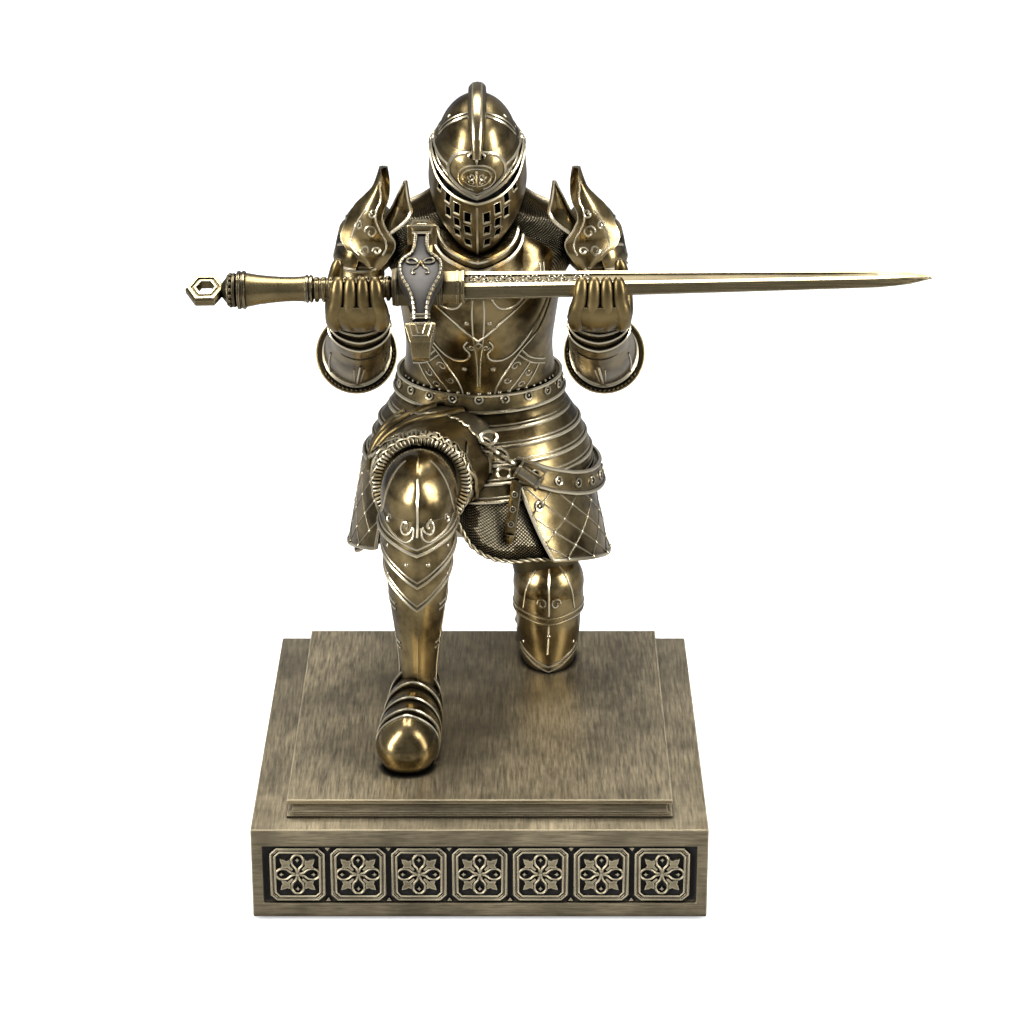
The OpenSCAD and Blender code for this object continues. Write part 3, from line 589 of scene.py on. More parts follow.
foot = [
    [(-19.8, -41.3, 37.4, 0.6, 0.6, -90), (-19.8, -40.7, 37.5, 3.4, 3.2, -90, 0.05),
    (-19.7, -39.0, 37.8, 6.0, 5.8, -90, 0.09),
     (-19.6, -36.4, 38.2, 7.6, 7.4, -90, 0.1, 0.3), (-19.5, -33.2, 38.5, 8.3, 8.3, -90, 0.09, 1.0)],
    [(-18.4, -18, 39.4, 7.2, 10.2, -90, 0.03, 0.5), (-19.2, -27, 38.9, 8.3, 9.4, -90, 0.05, 1.2),
    (-19.3, -30.6, 38.8, 8.4, 9.2, -90, 0.06, 1.8)],
    [(-18.2, -13.5, 39.6, 6.9, 10.6, -90, 0.03, 0.5), (-18.7, -22, 39.2, 7.9, 10.4, -90, 0.04, 1.2),
    (-19, -25.4, 38.9, 8.1, 10.2, -90, 0.05, 1.9)],
    [(-17.6, -6, 40.4, 6.4, 9.8, -90, 0.02, 0.4), (-18.1, -14, 40.0, 7.4, 11.2, -90, 0.04, 1.2),
    (-18.4, -20.2, 39.9, 7.8, 11.1, -90, 0.05, 1.9)],
    [(-17.2, -2, 40.0, 5.8, 8.6, -90, 0.02, 0.4), (-17.6, -9, 41.0, 6.8, 11.3, -90, 0.04, 1.0),
    (-17.9, -15.0, 41.2, 7.2, 12.0, -90, 0.05, 1.7)],
    [(-17, 3.6, 37.0, 1.0, 2.0, -90), (-17, 2.6, 37.6, 4.4, 5.6, -90), (-17, -3, 39, 5.6, 9.4, -90, 0.0, 0.2),
    (-17.2, -9, 42, 6.2, 11.8, -90, 0.02, 0.6)],
]
bm = fresh_mesh()
for k, rows in enumerate(foot):
    rings = oval_loft(bm, rows, sides=44)
    if rows is not foot[-1]:
        rim(bm, rings[-2], 0.42 if k else 0.5)
    if k == 0:
        line_on(bm, skin_of(bm), [p + Vector((0, 1.9, 0)) for p in rings[-2][::2]], 0.26, per=1, closed=True)
cut_at_plate(bm)
skin = skin_of(bm)
rivets(bm, skin, [(-10.4, -13.5, 43.2), (-25.2, -13.5, 43.2)], 1.05, 0.5)
add_piece("right_foot_lames", bm, polished, ["right_sabaton"])


# Right shin. A greave closed round the calf, with a sharp ridge down its front and a rolled rim at the ankle,
# and the three lames that hang from the knee over it. Each lame is riveted at its sides and has a pointed
# lower edge.
bm = fresh_mesh()
shin = [(-16.8, -11, 97, 9.0, 10.6, 0, 0.02), (-16.8, -11.2, 84, 8.9, 10.9, 0, 0.05),
    (-16.9, -12, 70, 7.4, 9.2, 0, 0.1),
        (-17.0, -12.6, 58, 5.7, 7.1, 0, 0.14), (-17.2, -12.8, 49, 5.2, 6.6, 0, 0.13, 0.5),
        (-17.2, -13, 45, 5.9, 7.6, 0, 0.1, 1.2)]
rings = oval_loft(bm, shin, per=6)
rim(bm, rings[-2], 0.5)
skin = skin_of(bm)
line_on(bm, skin, [p + Vector((0, 0, 1.5)) for p in rings[-2][::2]], 0.24, per=1, closed=True)
for s in (-1, 1):
    line_on(bm, skin, [(-16.8 + s * 8, -14, 78), (-17 + s * 7, -15, 68), (-17 + s * 5, -15, 56),
        (-17.2 + s * 5, -15, 48)], 0.22)
    for z in (73, 61):
        for gap in (0, 1.6):
            line_on(bm, skin, [(-17 + s * 5.5, -18, z - gap), (-17 + s * 8, -13, z + 1 - gap),
                (-17 + s * 8, -6, z + 2 - gap)], 0.3)
add_piece("right_shin", bm, polished, ["right_greave"])

bm = fresh_mesh()
knee_lames = [
    [(-16.5, -12.6, 98, 9.4, 12, 0, 0.05, 3), (-16.6, -12.5, 92, 10.0, 12.9, 0, 0.08, 6),
    (-16.6, -12.4, 89.3, 10.0, 12.9, 0, 0.11, 8)],
    [(-16.6, -12.2, 92, 9.0, 11.4, 0, 0.05, 5), (-16.7, -12.1, 86, 9.3, 11.9, 0, 0.08, 8),
    (-16.8, -12.0, 83.2, 9.2, 11.7, 0, 0.11, 9.3)],
]
for rows in knee_lames:
    rings = oval_loft(bm, rows, per=5)
    rim(bm, rings[-2], 0.45)
    skin = skin_of(bm)
    line_on(bm, skin, [p + Vector((0, 0, 1.5)) for p in rings[-2]], 0.26, per=1, closed=True)
rivets(bm, skin, [(-24.4, -20, 91), (-8.8, -20, 91), (-19.4, -25, 87.4), (-13.8, -25, 87.4), (-24.2, -18, 82),
    (-9.4, -18, 82)], 0.66)
add_piece("right_knee_lames_plate", bm, polished, ["right_knee_lames"])


# Knee cops. Domed poleyns beaten from one plate, with a ridge down the middle and a pair of scrolls under it.
# The right one ends in a peak under the mail and a double pointed rim; the left one kneels on its rolled lower
# rim.
def dome(bm, centre, size, turn=0.0, ridge=0.0, segments=(56, 32)):
    """A domed cop with a ridge down its front."""
    made = bmesh.ops.create_uvsphere(bm, u_segments=segments[0], v_segments=segments[1], radius=1)["verts"]
    place = Matrix.Translation(centre) @ Matrix.Rotation(radians(turn), 4, "X") @ Matrix.Diagonal((*size, 1))
    for v in made:
        angle = abs(math.atan2(v.co.x, -v.co.y))
        crest = 1 + ridge * max(0.0, 1 - angle / 0.5) ** 1.3 * math.sqrt(max(0.0, 1 - v.co.z ** 2))
        v.co = place @ (v.co * crest)
    return made


def spiral(centre, across, up, size, turns=1.15, hand=1, count=14):
    """A scroll from its tail inwards, flat on two directions."""
    across, up = Vector(across), Vector(up)
    keys = []
    for k in range(count):
        t = k / (count - 1)
        angle, reach = hand * t * turns * 2 * pi, size * (1 - 0.78 * t)
        keys.append(tuple(Vector(centre) + across * (reach * cos(angle)) + up * (reach * sin(angle))))
    return keys


bm = fresh_mesh()
dome(bm, (-16.3, -12.5, 102.6), (10.3, 13.2, 12), ridge=0.08)
for v in bm.verts:
    if v.co.z < 96:
        v.co.z = 96 - (96 - v.co.z) * 0.4
rings = oval_loft(bm, [(-16.3, -12.5, 101.4, 9.8, 12.5, 0, 0.08), (-16.4, -12.6, 98.5, 10.2, 13.1, 0, 0.08, 1),
    (-16.5, -12.6, 96.8, 10.5, 13.5, 0, 0.09, 3), (-16.6, -12.6, 95.6, 10.7, 13.8, 0, 0.1, 4.6)])
rim(bm, rings[-2], 0.5)
skin = skin_of(bm)
line_on(bm, skin, [p + Vector((0, 0, 1.7)) for p in rings[-2]], 0.3, per=1, closed=True)
line_on(bm, skin, [(-16.3, -23, 111), (-16.3, -26, 106), (-16.4, -27, 101), (-16.5, -27, 96)], 0.34)
for s in (-1, 1):
    line_on(bm, skin, spiral((-16.4 + s * 3.6, -26, 98.6), (-s, 0, 0), (0, 0, 1), 2.5, 1.15, -1), 0.42)
    line_on(bm, skin, [(-16.4 + s * 1.1, -27, 98.6), (-16.4 + s * 1.5, -27, 95.6), (-16.4 + s * 3.8, -26, 94.4),
        (-16.4 + s * 7.2, -22, 96.2), (-16.4 + s * 9.2, -18, 99.4)], 0.34)
    line_on(bm, skin, spiral((-16.4 + s * 7.6, -21, 99.6), (s, 0, 0), (0, 0, 1), 1.6, 1.1, -1), 0.32)
    line_on(bm, skin, [(-16.4 + s * 9.6, -16, 99), (-16.4 + s * 8.8, -19, 103), (-16.4 + s * 6.8, -18.5, 108.6),
        (-16.4 + s * 3, -16, 113)], 0.3)
add_piece("right_knee_cop", bm, polished, ["right_poleyn"])

bm = fresh_mesh()
dome(bm, (19, 35.8, 56.4), (10.2, 10.6, 10), ridge=0.05)
rings = oval_loft(bm, [(19, 35.9, 57, 9.8, 10.2, 0, 0.05), (19, 35.9, 52, 10.1, 10.5, 0, 0.06, 0.4),
    (19, 35.9, 48.9, 10.0, 10.5, 0, 0.09, 1.6)])
rim(bm, rings[-2], 0.34)
skin = skin_of(bm)
line_on(bm, skin, [p + Vector((0, 0, 1.7)) for p in rings[-2]], 0.28, per=1, closed=True)
for s in (-1, 1):
    line_on(bm, skin, [(19 + s * 8, 28, 51), (19 + s * 7.4, 27, 56), (19 + s * 5, 27.5, 61),
        (19 + s * 2, 30, 65)], 0.28)
    line_on(bm, skin, spiral((19 + s * 2.1, 25, 53.4), (s, 0, 0), (0, 0, 1), 1.7, 1.2, 1), 0.26)
line_on(bm, skin, [(19, 27, 64), (19, 25, 58), (19, 24.5, 53), (19, 24.4, 50)], 0.3)
add_piece("left_knee_cop", bm, polished, ["left_poleyn"])


# Left leg, folded under. A lame below the knee cop with a pointed double line, a greave along the plate and
# the upright sole of the bent foot. All are cast in one with the leg and stand on the plate.
bm = fresh_mesh()
keeled([(19, 35.8, 54, 9.2, 9.7, 0.04, 0), (19, 35.8, 46, 9.3, 9.9, 0.1, 0), (19, 35.9, 40, 8.9, 9.5, 0.2, 0),
    (19, 36, 35.2, 8.2, 8.8, 0.33, 0), (19, 36, 32.5, 7.8, 8.4, 0.42, 0)], bm)
skin = skin_of(bm)
for gap in (0, 1.5):
    line_on(bm, skin, [(10.6, 32, 38.5 - gap), (13.4, 28, 36.6 - gap), (16.4, 25.6, 35.0 - gap),
        (18.9, 23.6, 34.2 - gap), (21.4, 25.6, 35.0 - gap), (24.4, 28, 36.6 - gap), (27.4, 32, 38.5 - gap)],
        0.36)
rivets(bm, skin, [(12.6, 30, 40), (25.2, 30, 40), (19, 25, 43.6)], 0.6)
line_on(bm, skin, [(19, 25.5, 48), (19, 25.5, 43), (19, 26, 38)], 0.26)
cut_at_plate(bm)
add_piece("left_knee_lame_plate", bm, polished, ["left_knee_lame"])

bm = fresh_mesh()
calf = [(19.4, 42, 40.6, 7.6, 7.6, -90, 0.02), (19.2, 48, 41.4, 8.4, 8.6, -90, 0.03),
    (18.4, 56, 46, 8.2, 8.6, -82, 0.03),
        (17.5, 64, 51.6, 7.4, 7.6, -74, 0.03), (17.1, 72, 56.4, 5.9, 6.0, -66, 0.02),
        (17, 77, 59.6, 5.2, 5.2, -60)]
rings = oval_loft(bm, calf, per=6)
for k in (2, 5, 26, 29):
    rim(bm, rings[min(k, len(rings) - 2)], 0.42)
cut_at_plate(bm)
skin = skin_of(bm)
for s in (-1, 1):
    line_on(bm, skin, [(18.8 + s * 8, 47, 40), (18.4 + s * 8, 56, 45), (17.6 + s * 7, 64, 51),
        (17.1 + s * 6, 72, 56)], 0.26)
add_piece("left_shin", bm, satin, ["left_greave"])

bm = fresh_mesh()
sole = [(17, 43.5, 34.5, 3.2, 2.4, -90), (17, 45.4, 35.2, 6.2, 4.4, -80), (17, 50, 36.6, 7.2, 5.2, -66, 0.02),
    (17, 55.4, 39.6, 7.3, 5.6, -50, 0.02),
        (17, 62, 44.4, 6.9, 5.6, -44, 0.02), (17, 70, 51, 6.4, 5.6, -44, 0.02),
        (17, 77, 56.4, 6.0, 5.9, -50, 0.02), (17, 82, 59.4, 5.2, 5.0, -60, 0.02),
        (17, 84.6, 60.4, 2.6, 2.8, -70)]
rings = oval_loft(bm, sole, per=4)
for k in (6, 9, 12, 15, 18, 21):
    rim(bm, rings[k], 0.4)
cut_at_plate(bm)
add_piece("left_foot_lames", bm, polished, ["left_sabaton"])


# Mail skirt. Fine riveted mail that falls from the waist to mid thigh and drapes over the raised right thigh.
# It is cast as small staggered links in low relief, with a thicker hem row; the thigh and the other leg sit in
# it.
mail = aged_bronze("bronze_mail", (0.4, 0.32, 0.18), (0.66, 0.55, 0.34), (0.95, 0.84, 0.6), 0.3, patina=0.4)
tree = mail.node_tree
shader = tree.nodes["Principled BSDF"]
paler_colour = shader.inputs["Base Color"].links[0].from_socket
# The gaps between the links are darkened towards black: painted shade between the links, with the wash there.
link_gap = add_node(tree, "ShaderNodeAttribute", attribute_name="link_gap")
between = ramp(tree, link_gap.outputs["Fac"], [(0.5, 0.0), (0.95, 1.0)])
tree.links.new(mix_colour(tree, between, paler_colour, wash_and_painted_shade), shader.inputs["Base Color"])
dark = aged_bronze("bronze_dark", (0.03, 0.024, 0.014), (0.1, 0.078, 0.04), (0.55, 0.44, 0.24), 0.42)


def mail_loft(bm, rows, down=0.5, sides=300, relief=0.3):
    """A closed surface of staggered links, each a small pyramid whose top is marked for a painted highlight, with
    a gap round it that is marked for painted shade.
    """
    first = len(bm.verts)
    length = sum((Vector(a[:3]) - Vector(b[:3])).length + abs(a[3] - b[3]) * 0.4 for a,
        b in zip(rows, rows[1:]))
    gaps = bm.verts.layers.float.new("link_gap")
    tops = bm.verts.layers.float["raised"]
    rings = oval_loft(bm, rows, per=max(2, round(length / down / (len(rows) - 1))), sides=sides, fold=0.8)
    bm.verts.ensure_lookup_table()
    bm.normal_update()
    moves = []
    for j in range(len(rings) - 1):
        for i in range(sides):
            v, high = bm.verts[first + j * sides + i], (i + j) % 2
            # Tops are marked raised for a painted highlight; gaps are marked for painted shade.
            v[gaps], v[tops] = (0.0, 0.8) if high else (1.0, 0.0)
            moves.append((v, v.normal * (relief if high else -relief * 0.5)))
    for v, move in moves:
        v.co += move
    for face in [f for f in bm.faces if len(f.verts) == 4]:
        low = [v for v in face.verts if v[gaps] > 0.5]
        if len(low) == 2 and not bm.edges.get(low):
            bmesh.utils.face_split(face, *low)
    return rings


def twisted_rope(bm, points, radius=0.75, twist=0.9, closed=False):
    """Two strands twisted round a line."""
    points = [Vector(p) for p in points]
    for strand in (0, pi):
        keys = []
        for k, p in enumerate(points):
            before, after = points[max(k - 1, 0)], points[min(k + 1, len(points) - 1)]
            along = (after - before).normalized()
            side = along.orthogonal().normalized() if abs(along.z) > 0.99 else Vector((0, 0,
                1)).cross(along).normalized()
            up = along.cross(side)
            angle = k * twist + strand
            keys.append(p + (side * cos(angle) + up * sin(angle)) * radius * 0.55)
        tube(bm, keys, radius * 0.62, closed=closed, sides=5, raised=0.4)


def even(points, step, closed=False):
    """Points at even steps along a line through points."""
    points = [Vector(p) for p in points] + ([Vector(points[0])] if closed else [])
    placed, due = [points[0].copy()], step
    for a, b in zip(points, points[1:]):
        span = (b - a).length
        while due <= span:
            placed.append(a.lerp(b, due / span))
            due += step
        due -= span
    return placed


bm = fresh_mesh()
mail_loft(bm, [(-0.6, 38, 113, 22.4, 17.4), (-1.1, 36, 100, 29.6, 25.6), (-1.2, 35, 89, 32.2, 29.6),
    (-1.2, 34, 79.5, 34.6, 32.6)], sides=380)


def between_keys(keys, at):
    """Reads a value off a list of (place, value) keys."""
    for (a, low), (b, high) in zip(keys, keys[1:]):
        if at <= b:
            return low + (high - low) * max(0.0, (at - a) / (b - a))
    return keys[-1][1]


def sag(y):
    """How far the skirt and the hip guards hang lower at the sides and the back than in front."""
    return between_keys([(4, 0), (14, 3.4), (26, 7.2), (36, 9.6), (50, 9.0), (70, 6.5)], y)


def hem_height(x, y):
    """The hem is level on the left front, climbs to the raised knee and sags at the sides and back."""
    climb = between_keys([(-36, 3), (-27, 5), (-22, 18), (-12, 20), (-6.4, 12.3), (-3.5, 6.2), (0, 2.9),
        (4, 1.1), (9, 0)], x)
    front = max(0.0, min(1.0, (30 - y) / 14))
    return 76.3 + climb * front - sag(y)


for v in bm.verts:
    share = max(0.0, (113 - v.co.z) / 33.8) ** 2
    v.co.z += (hem_height(v.co.x, v.co.y) - 79.3) * share
hem = [(-1.2 + 34.7 * sin(k * pi / 60), 34 - 32.7 * cos(k * pi / 60)) for k in range(120)]
hem = [(x, y, hem_height(x, y)) for x, y in hem]
twisted_rope(bm, even(hem, 0.7, closed=True), 0.6, closed=True)
add_piece("mail_skirt_links", bm, mail, ["mail_skirt"], sharp=80)

# Thigh drape. The front of the mail skirt lies over the raised thigh in soft folds and ends round the knee cop
# in a band of long links and a rope hem. It is cast with the skirt.
bm = fresh_mesh()
drape = [(-8, 34, 99, 19, 15, -72), (-10.5, 24, 101, 18.5, 15.2, -74), (-13.4, 12, 101.4, 16.4, 14.8, -80),
    (-15.4, 3, 101.6, 14.4, 14.2, -84), (-16, -2.5, 101.8, 13, 13.4, -90)]
rings = mail_loft(bm, drape, down=0.36, sides=210, relief=0.2)
drape_skin = skin_of(bm)
cuff = rings[-2]
twisted_rope(bm, even([p + Vector((0, -0.6, 0)) for p in cuff], 0.9, closed=True), 0.7, closed=True)
middle = sum((p for p in cuff), Vector()) / len(cuff)
for k in range(0, 210, 3):
    inside = middle.lerp(cuff[k], 0.84) + Vector((0, -0.9, 0))
    over = middle.lerp(cuff[k], 0.97) + Vector((0, -1.7, 0))
    tube(bm, [inside, over, on_skin(drape_skin, cuff[k] + Vector((0, 2.6, 0)), 0.2)], [0.34, 0.5, 0.34],
        sides=6)
add_piece("mail_thigh_drape", bm, mail, sharp=80)

# Cloth flap. A lined flap of cloth that hangs from under the belt across the thigh drape, with soft folds at
# its top and a rolled bright border that ends in a point. Cast with the skirt.
bm = fresh_mesh()
folds = [
    [(-20.5, 22, 112.4), (-26.2, 20, 108.6), (-31.2, 18, 103), (-33.6, 22, 96.5)],
    [(-12.5, 19, 115.2), (-22, 13, 113.6), (-28.6, 10.5, 108.4), (-32.2, 11, 100)],
    [(-5.5, 17.6, 114.8), (-12.5, 10, 116.0), (-21.5, 6.4, 113.8), (-28.0, 6.0, 108.4)],
]
for k, keys in enumerate(folds):
    line_on(bm, drape_skin, keys, [1.4, 1.3, 1.15][k], per=6, lift=0.3, sides=10, raised=0.0)
flap_edge = [(-30.4, 10, 104.2), (-26.6, 0.4, 108.6), (-20.4, -3.2, 112.6), (-13.4, -3.4, 115.5),
    (-8.4, -3.2, 113.6), (-4.2, -3, 109.6), (-2.2, -2.2, 104.6), (0.6, 5.6, 92.8)]
flap_top = [(-26, 25, 109.4), (-18.7, 14, 114.7), (-9.7, 11, 115.4), (-4.5, 9, 113.8), (0.4, 8, 109.9),
    (4.6, 8, 103.5), (6.6, 9, 96), (2.2, 7.6, 91.4)]
low_side, high_side = through(flap_edge, 7), through(flap_top, 7)
grid = []
for a, b in zip(low_side, high_side):
    row = []
    for k in range(7):
        p = Vector(a).lerp(Vector(b), k / 6)
        s = on_skin(drape_skin, p, 0.75 - 0.25 * sin(k * pi / 6))
        row.append(bm.verts.new(s if (s - p).length < 5 else p))
    grid.append(row)
sheet = [bm.faces.new((r[k], r[k + 1], q[k + 1], q[k])) for r, q in zip(grid, grid[1:]) for k in range(6)]
bmesh.ops.recalc_face_normals(bm, faces=sheet)
bmesh.ops.solidify(bm, geom=sheet, thickness=0.5)
border = [r[0].co.copy() for r in grid]
tube(bm, border, 0.62, sides=8)
inner = [r[0].co.lerp(r[1].co, 0.85) for r in grid]
tube(bm, [p + Vector((0, -0.2, 0.25)) for p in inner], 0.3)
tube(bm, [r[-1].co.copy() for r in grid], 0.5, sides=8)
add_piece("cloth_flap", bm, satin)


# Thighs. Cuisse plates under the mail, cast with the legs; only slivers show between skirt and knee cops.
bm = fresh_mesh()
oval_loft(bm, [(-16.2, -8, 103, 8.6, 8.6, -90), (-15.4, 2, 103, 9.8, 9.8, -86), (-14, 18, 101, 11.4, 11.6, -80),
    (-13, 36, 97.6, 12.6, 12.6, -80)])
add_piece("right_thigh_plate", bm, dark, ["right_cuisse"])
bm = fresh_mesh()
oval_loft(bm, [(14, 42, 97, 12.2, 12), (16, 39.6, 78, 11.2, 11), (18.4, 37, 58, 9.2, 9.2),
    (19, 36.6, 53, 8.6, 8.6)])
add_piece("left_thigh_plate", bm, dark, ["left_cuisse"])


# Fauld. Four hoops of plate that overlap downwards from the belt round the hips, riveted on hidden straps.
# Each has a rolled, polished lower edge that catches the light.
bm = fresh_mesh()
for z, top, bottom in ((116.6, (21.6, 17.0), (25.2, 20.8)), (112.6, (24.2, 19.4), (28.2, 23.8)),
        (108.2, (27.0, 22.6), (30.0, 26.4)), (103.8, (29.2, 25.2), (31.6, 28.8)),
        (99.4, (30.4, 27.6), (32.4, 31.0))):
    rows = [(-0.6, 38, z, *top), (-0.6, 37.7, z - 3, (top[0] + bottom[0]) / 2, (top[1] + bottom[1]) / 2, 0, 0,
        0.4), (-0.7, 37.4, z - 6.2, *bottom, 0, 0, 0.9)]
    rings = oval_loft(bm, rows, per=4, sides=72)
    rim(bm, rings[-2], 0.5)
    skin = skin_of(bm)
    line_on(bm, skin, [p + Vector((0, 0, 1.4)) for p in rings[-2]], 0.2, per=1, closed=True)
add_piece("fauld_hoops", bm, polished, ["fauld_lames"])


# Tassets. Two quilted hip guards that hang over the skirt: padded diamonds stitched down between rolled edges,
# with a domed rivet wherever the lines cross. The left one is wide, the right one shows as a narrow strip.
def hip_guard(bm, start, end, levels, slant=0, slope=0.0):
    """A curved quilted plate between two angles in degrees, from the front towards the left side."""
    across, down = 60, 20

    def spot(u, t, out=0.0):
        w, d = 32.4 + 4.8 * t + out, 30.2 + 4.8 * t + out
        a = radians(start + slant * t + (end - start - slant * t) * u)
        y = 36.2 - 1.6 * t - d * cos(a)
        top = levels[0] + slope * (w * sin(a) - 14)
        return (-0.9 + w * sin(a), y, top + (levels[1] - sag(y) - top) * t)

    grid = [[bm.verts.new(spot(i / across, j / down)) for i in range(across + 1)] for j in range(down + 1)]
    sheet = [bm.faces.new((r[k], r[k + 1], q[k + 1], q[k])) for r, q in zip(grid, grid[1:])
        for k in range(across)]
    bmesh.ops.recalc_face_normals(bm, faces=sheet)
    bmesh.ops.solidify(bm, geom=sheet, thickness=0.9)
    edge = [v.co.copy() for v in grid[0]] + [r[-1].co.copy() for r in grid[1:]] + [v.co.copy()
        for v in reversed(grid[-1][:-1])] + [r[0].co.copy() for r in reversed(grid[1:-1])]
    tube(bm, even(edge, 0.9, closed=True), 0.55, closed=True, sides=6)
    skin = skin_of(bm)

    wide, high = 11, 5.2
    crossings = [spot(m / wide, n / high, 0.5) for m in range(1, wide) for n in range(1, 6) if (m + n) % 2 == 0]
    rivets(bm, skin, crossings, 0.62)
    for m in range(-4, 12, 2):
        for s, shift in ((1, 0), (-1, 4)):
            places = [((m + s * n + shift) / wide, n / high) for n in (0, 1, 2, 3, 4, high)]
            line = [spot(u, t, 0.5) for u, t in places if 0 <= u <= 1]
            if len(line) > 1:
                line_on(bm, skin, line, 0.2, raised=0.3)
    return skin


bm = fresh_mesh()
skin = hip_guard(bm, 20, 128, (97.0, 76), 14, -0.42)
eyelets(bm, skin, [(17, 7, 91)], 1.2, 0.36)
add_piece("left_hip_guard", bm, polished, ["left_tasset"])
bm = fresh_mesh()
hip_guard(bm, -128, -50, (97, 79.0))
add_piece("right_hip_guard", bm, polished, ["right_tasset"])


# Belts. A waist belt with rolled edges and ring studs, and a sword belt that slants down over the left hip,
# both leather with metal fittings on the real armour and cast here. A tube buckle, a strap end and a chain
# hang in front.
def belt_band(bm, rows):
    """A closed strap with a rolled edge along its top and bottom."""
    rings = oval_loft(bm, rows, per=2, sides=96, fold=0)
    rim(bm, rings[0], 0.5)
    rim(bm, rings[-1], 0.5)
    return skin_of(bm)


bm = fresh_mesh()
skin = belt_band(bm, [(-0.6, 37.6, 120.2, 22.8, 18.9, 4), (-0.6, 37.8, 117.8, 23.2, 19.3, 4),
    (-0.6, 38, 115.6, 23.9, 19.9, 4)])
eyelets(bm, skin, [(-0.6 + 23.6 * sin(radians(a)), 37.8 - 19.6 * cos(radians(a)), 117.9)
    for a in range(-180, 180, 18)], 1.1, 0.36)
add_piece("waist_belt_band", bm, polished, ["waist_belt"])

bm = fresh_mesh()
belt_keys = [(18, 102.6), (26, 100.4), (36, 97.6), (50, 94.6), (60, 93.0), (70, 91.9), (90, 90.6), (130, 90.0),
    (170, 90.6)]


def belt_sag(angle):
    """The height of the sword belt's middle round the hip."""
    return between_keys(belt_keys, angle)


grid = []
for j in range(5):
    t = j / 4
    row = []
    for i in range(73):
        a = radians(18 + i * 2.1)
        w, d = 34.0 + 1.2 * t, 31.9 + 1.3 * t
        row.append(bm.verts.new((-0.6 + w * sin(a), 36.5 - d * cos(a), belt_sag(math.degrees(a)) + 3.0
            - 6.0 * t)))
    grid.append(row)
sheet = [bm.faces.new((r[k], r[k + 1], q[k + 1], q[k])) for r, q in zip(grid, grid[1:]) for k in range(72)]
bmesh.ops.recalc_face_normals(bm, faces=sheet)
bmesh.ops.solidify(bm, geom=sheet, thickness=0.9)
for row in (grid[0], grid[-1]):
    tube(bm, [v.co.copy() for v in row], 0.55, sides=6)
skin = skin_of(bm)
eyelets(bm, skin, [(-0.6 + 35 * sin(radians(a)), 36.5 - 32.8 * cos(radians(a)), belt_sag(a))
    for a in range(26, 160, 13)], 1.15, 0.36)
add_piece("sword_belt_band", bm, polished, ["sword_belt"])

bm = fresh_mesh()
hang = Matrix.Translation((13.0, 4.6, 100.6)) @ Matrix.Rotation(radians(-20), 4,
    "Z") @ Matrix.Rotation(radians(28), 4, "Y")
for x0, x1, radius in ((-3.4, 3.4, 2.0), (-3.7, -3.0, 2.3), (3.0, 3.7, 2.3)):
    tube(bm, [hang @ Vector((x0, 0, 0)), hang @ Vector((x1, 0, 0))], radius, sides=16, raised=0.5)
tube(bm, [hang @ Vector((x, -0.4, z)) for x, z in ((-3.2, 1), (-3.4, 4.4), (3.4, 4.4), (3.2, 1))], 0.55,
    sides=6)
strap = Matrix.Translation((8.8, 4.2, 91)) @ Matrix.Rotation(radians(7), 4, "Y") @ Matrix.Rotation(radians(-9),
    4, "X") @ Matrix.Rotation(radians(-16), 4, "Z")
start = bmesh.new()
add_box(start, (-1.5, -0.5, -7.2), (1.5, 0.6, 8.6), 0.3)
band = bpy.data.meshes.new("band")
bmesh.ops.transform(start, matrix=strap, verts=start.verts)
start.to_mesh(band)
start.free()
bm.from_mesh(band)
bpy.data.meshes.remove(band)
strap_skin = skin_of(bm)
eyelets(bm, strap_skin, [strap @ Vector((0, -0.6, z)) for z in (4.6, 0.4, -3.8)], 0.8, 0.24)
tube(bm, [strap @ Vector(p) for p in ((0, 0, -6.8), (0, 0, -8.2), (0, 0, -9.8))], [1.55, 1.3, 0.3], sides=8,
    raised=0.0)
chain = even([(0.2, 8.0, 109.6), (3.4, 6.6, 107.6), (7.2, 5.4, 105.4), (10.4, 4.6, 103.4)], 2.5)
for k, (p, q) in enumerate(zip(chain, chain[1:])):
    along = (q - p).normalized()
    across = along.cross(Vector((0.2, -0.9, 0.35))).normalized()
    if k % 2:
        across = along.cross(across).normalized()
    ring = [(p + q) / 2 + along * (2.25 * cos(a * pi / 7)) + across * (1.45 * sin(a * pi / 7))
        for a in range(14)]
    tube(bm, ring, 0.56, closed=True, sides=6)
for place, radius in (((2.2, 6.4, 111.4), 2.2), ((6.2, 5.2, 101.6), 1.9)):
    tube(bm, [Vector(place) + Vector((radius * cos(a * pi / 7), 0.2 * radius * sin(a * pi / 7),
        radius * 0.8 * sin(a * pi / 7))) for a in range(14)], 0.46, closed=True, sides=6)
add_piece("belt_fittings", bm, polished, ["belt_buckle"])


# Mail shirt. A hauberk with a mantle over the shoulders and up to the helmet, in the same staggered links.
# It is the core that the plates are cast against, and shows between them and behind the neck.
bm = fresh_mesh()
oval_loft(bm, [(-0.6, 38.5, 111, 18.4, 13.6), (-0.6, 36, 122, 19.6, 15.2), (-0.6, 31, 141, 20.2, 15.4)],
    sides=60)
mail_loft(bm, [(-0.6, 31.6, 138, 20.4, 15.6), (-0.6, 27.4, 152, 23.4, 15.6),
               (-0.6, 27.4, 159, 27.6, 13.6), (-0.6, 27.4, 164.4, 28.2, 12.4), (-0.6, 27, 169.4, 23.6, 11.8),
               (-0.6, 24.4, 174, 15.6, 11.8),
               (-0.6, 20.4, 178.4, 11.2, 10.8), (-0.6, 15, 184, 8.8, 8.8)], sides=260, relief=0.28)
add_piece("mail_mantle", bm, mail, ["mail_shirt"], sharp=80)


# Breastplate. One keeled plate over the chest with a pointed upper plate riveted on it, ogee border lines,
# fluting that spreads from the waist and shallow engraved scrolls. The backplate is plain with three flutes.
body_middle = -0.6


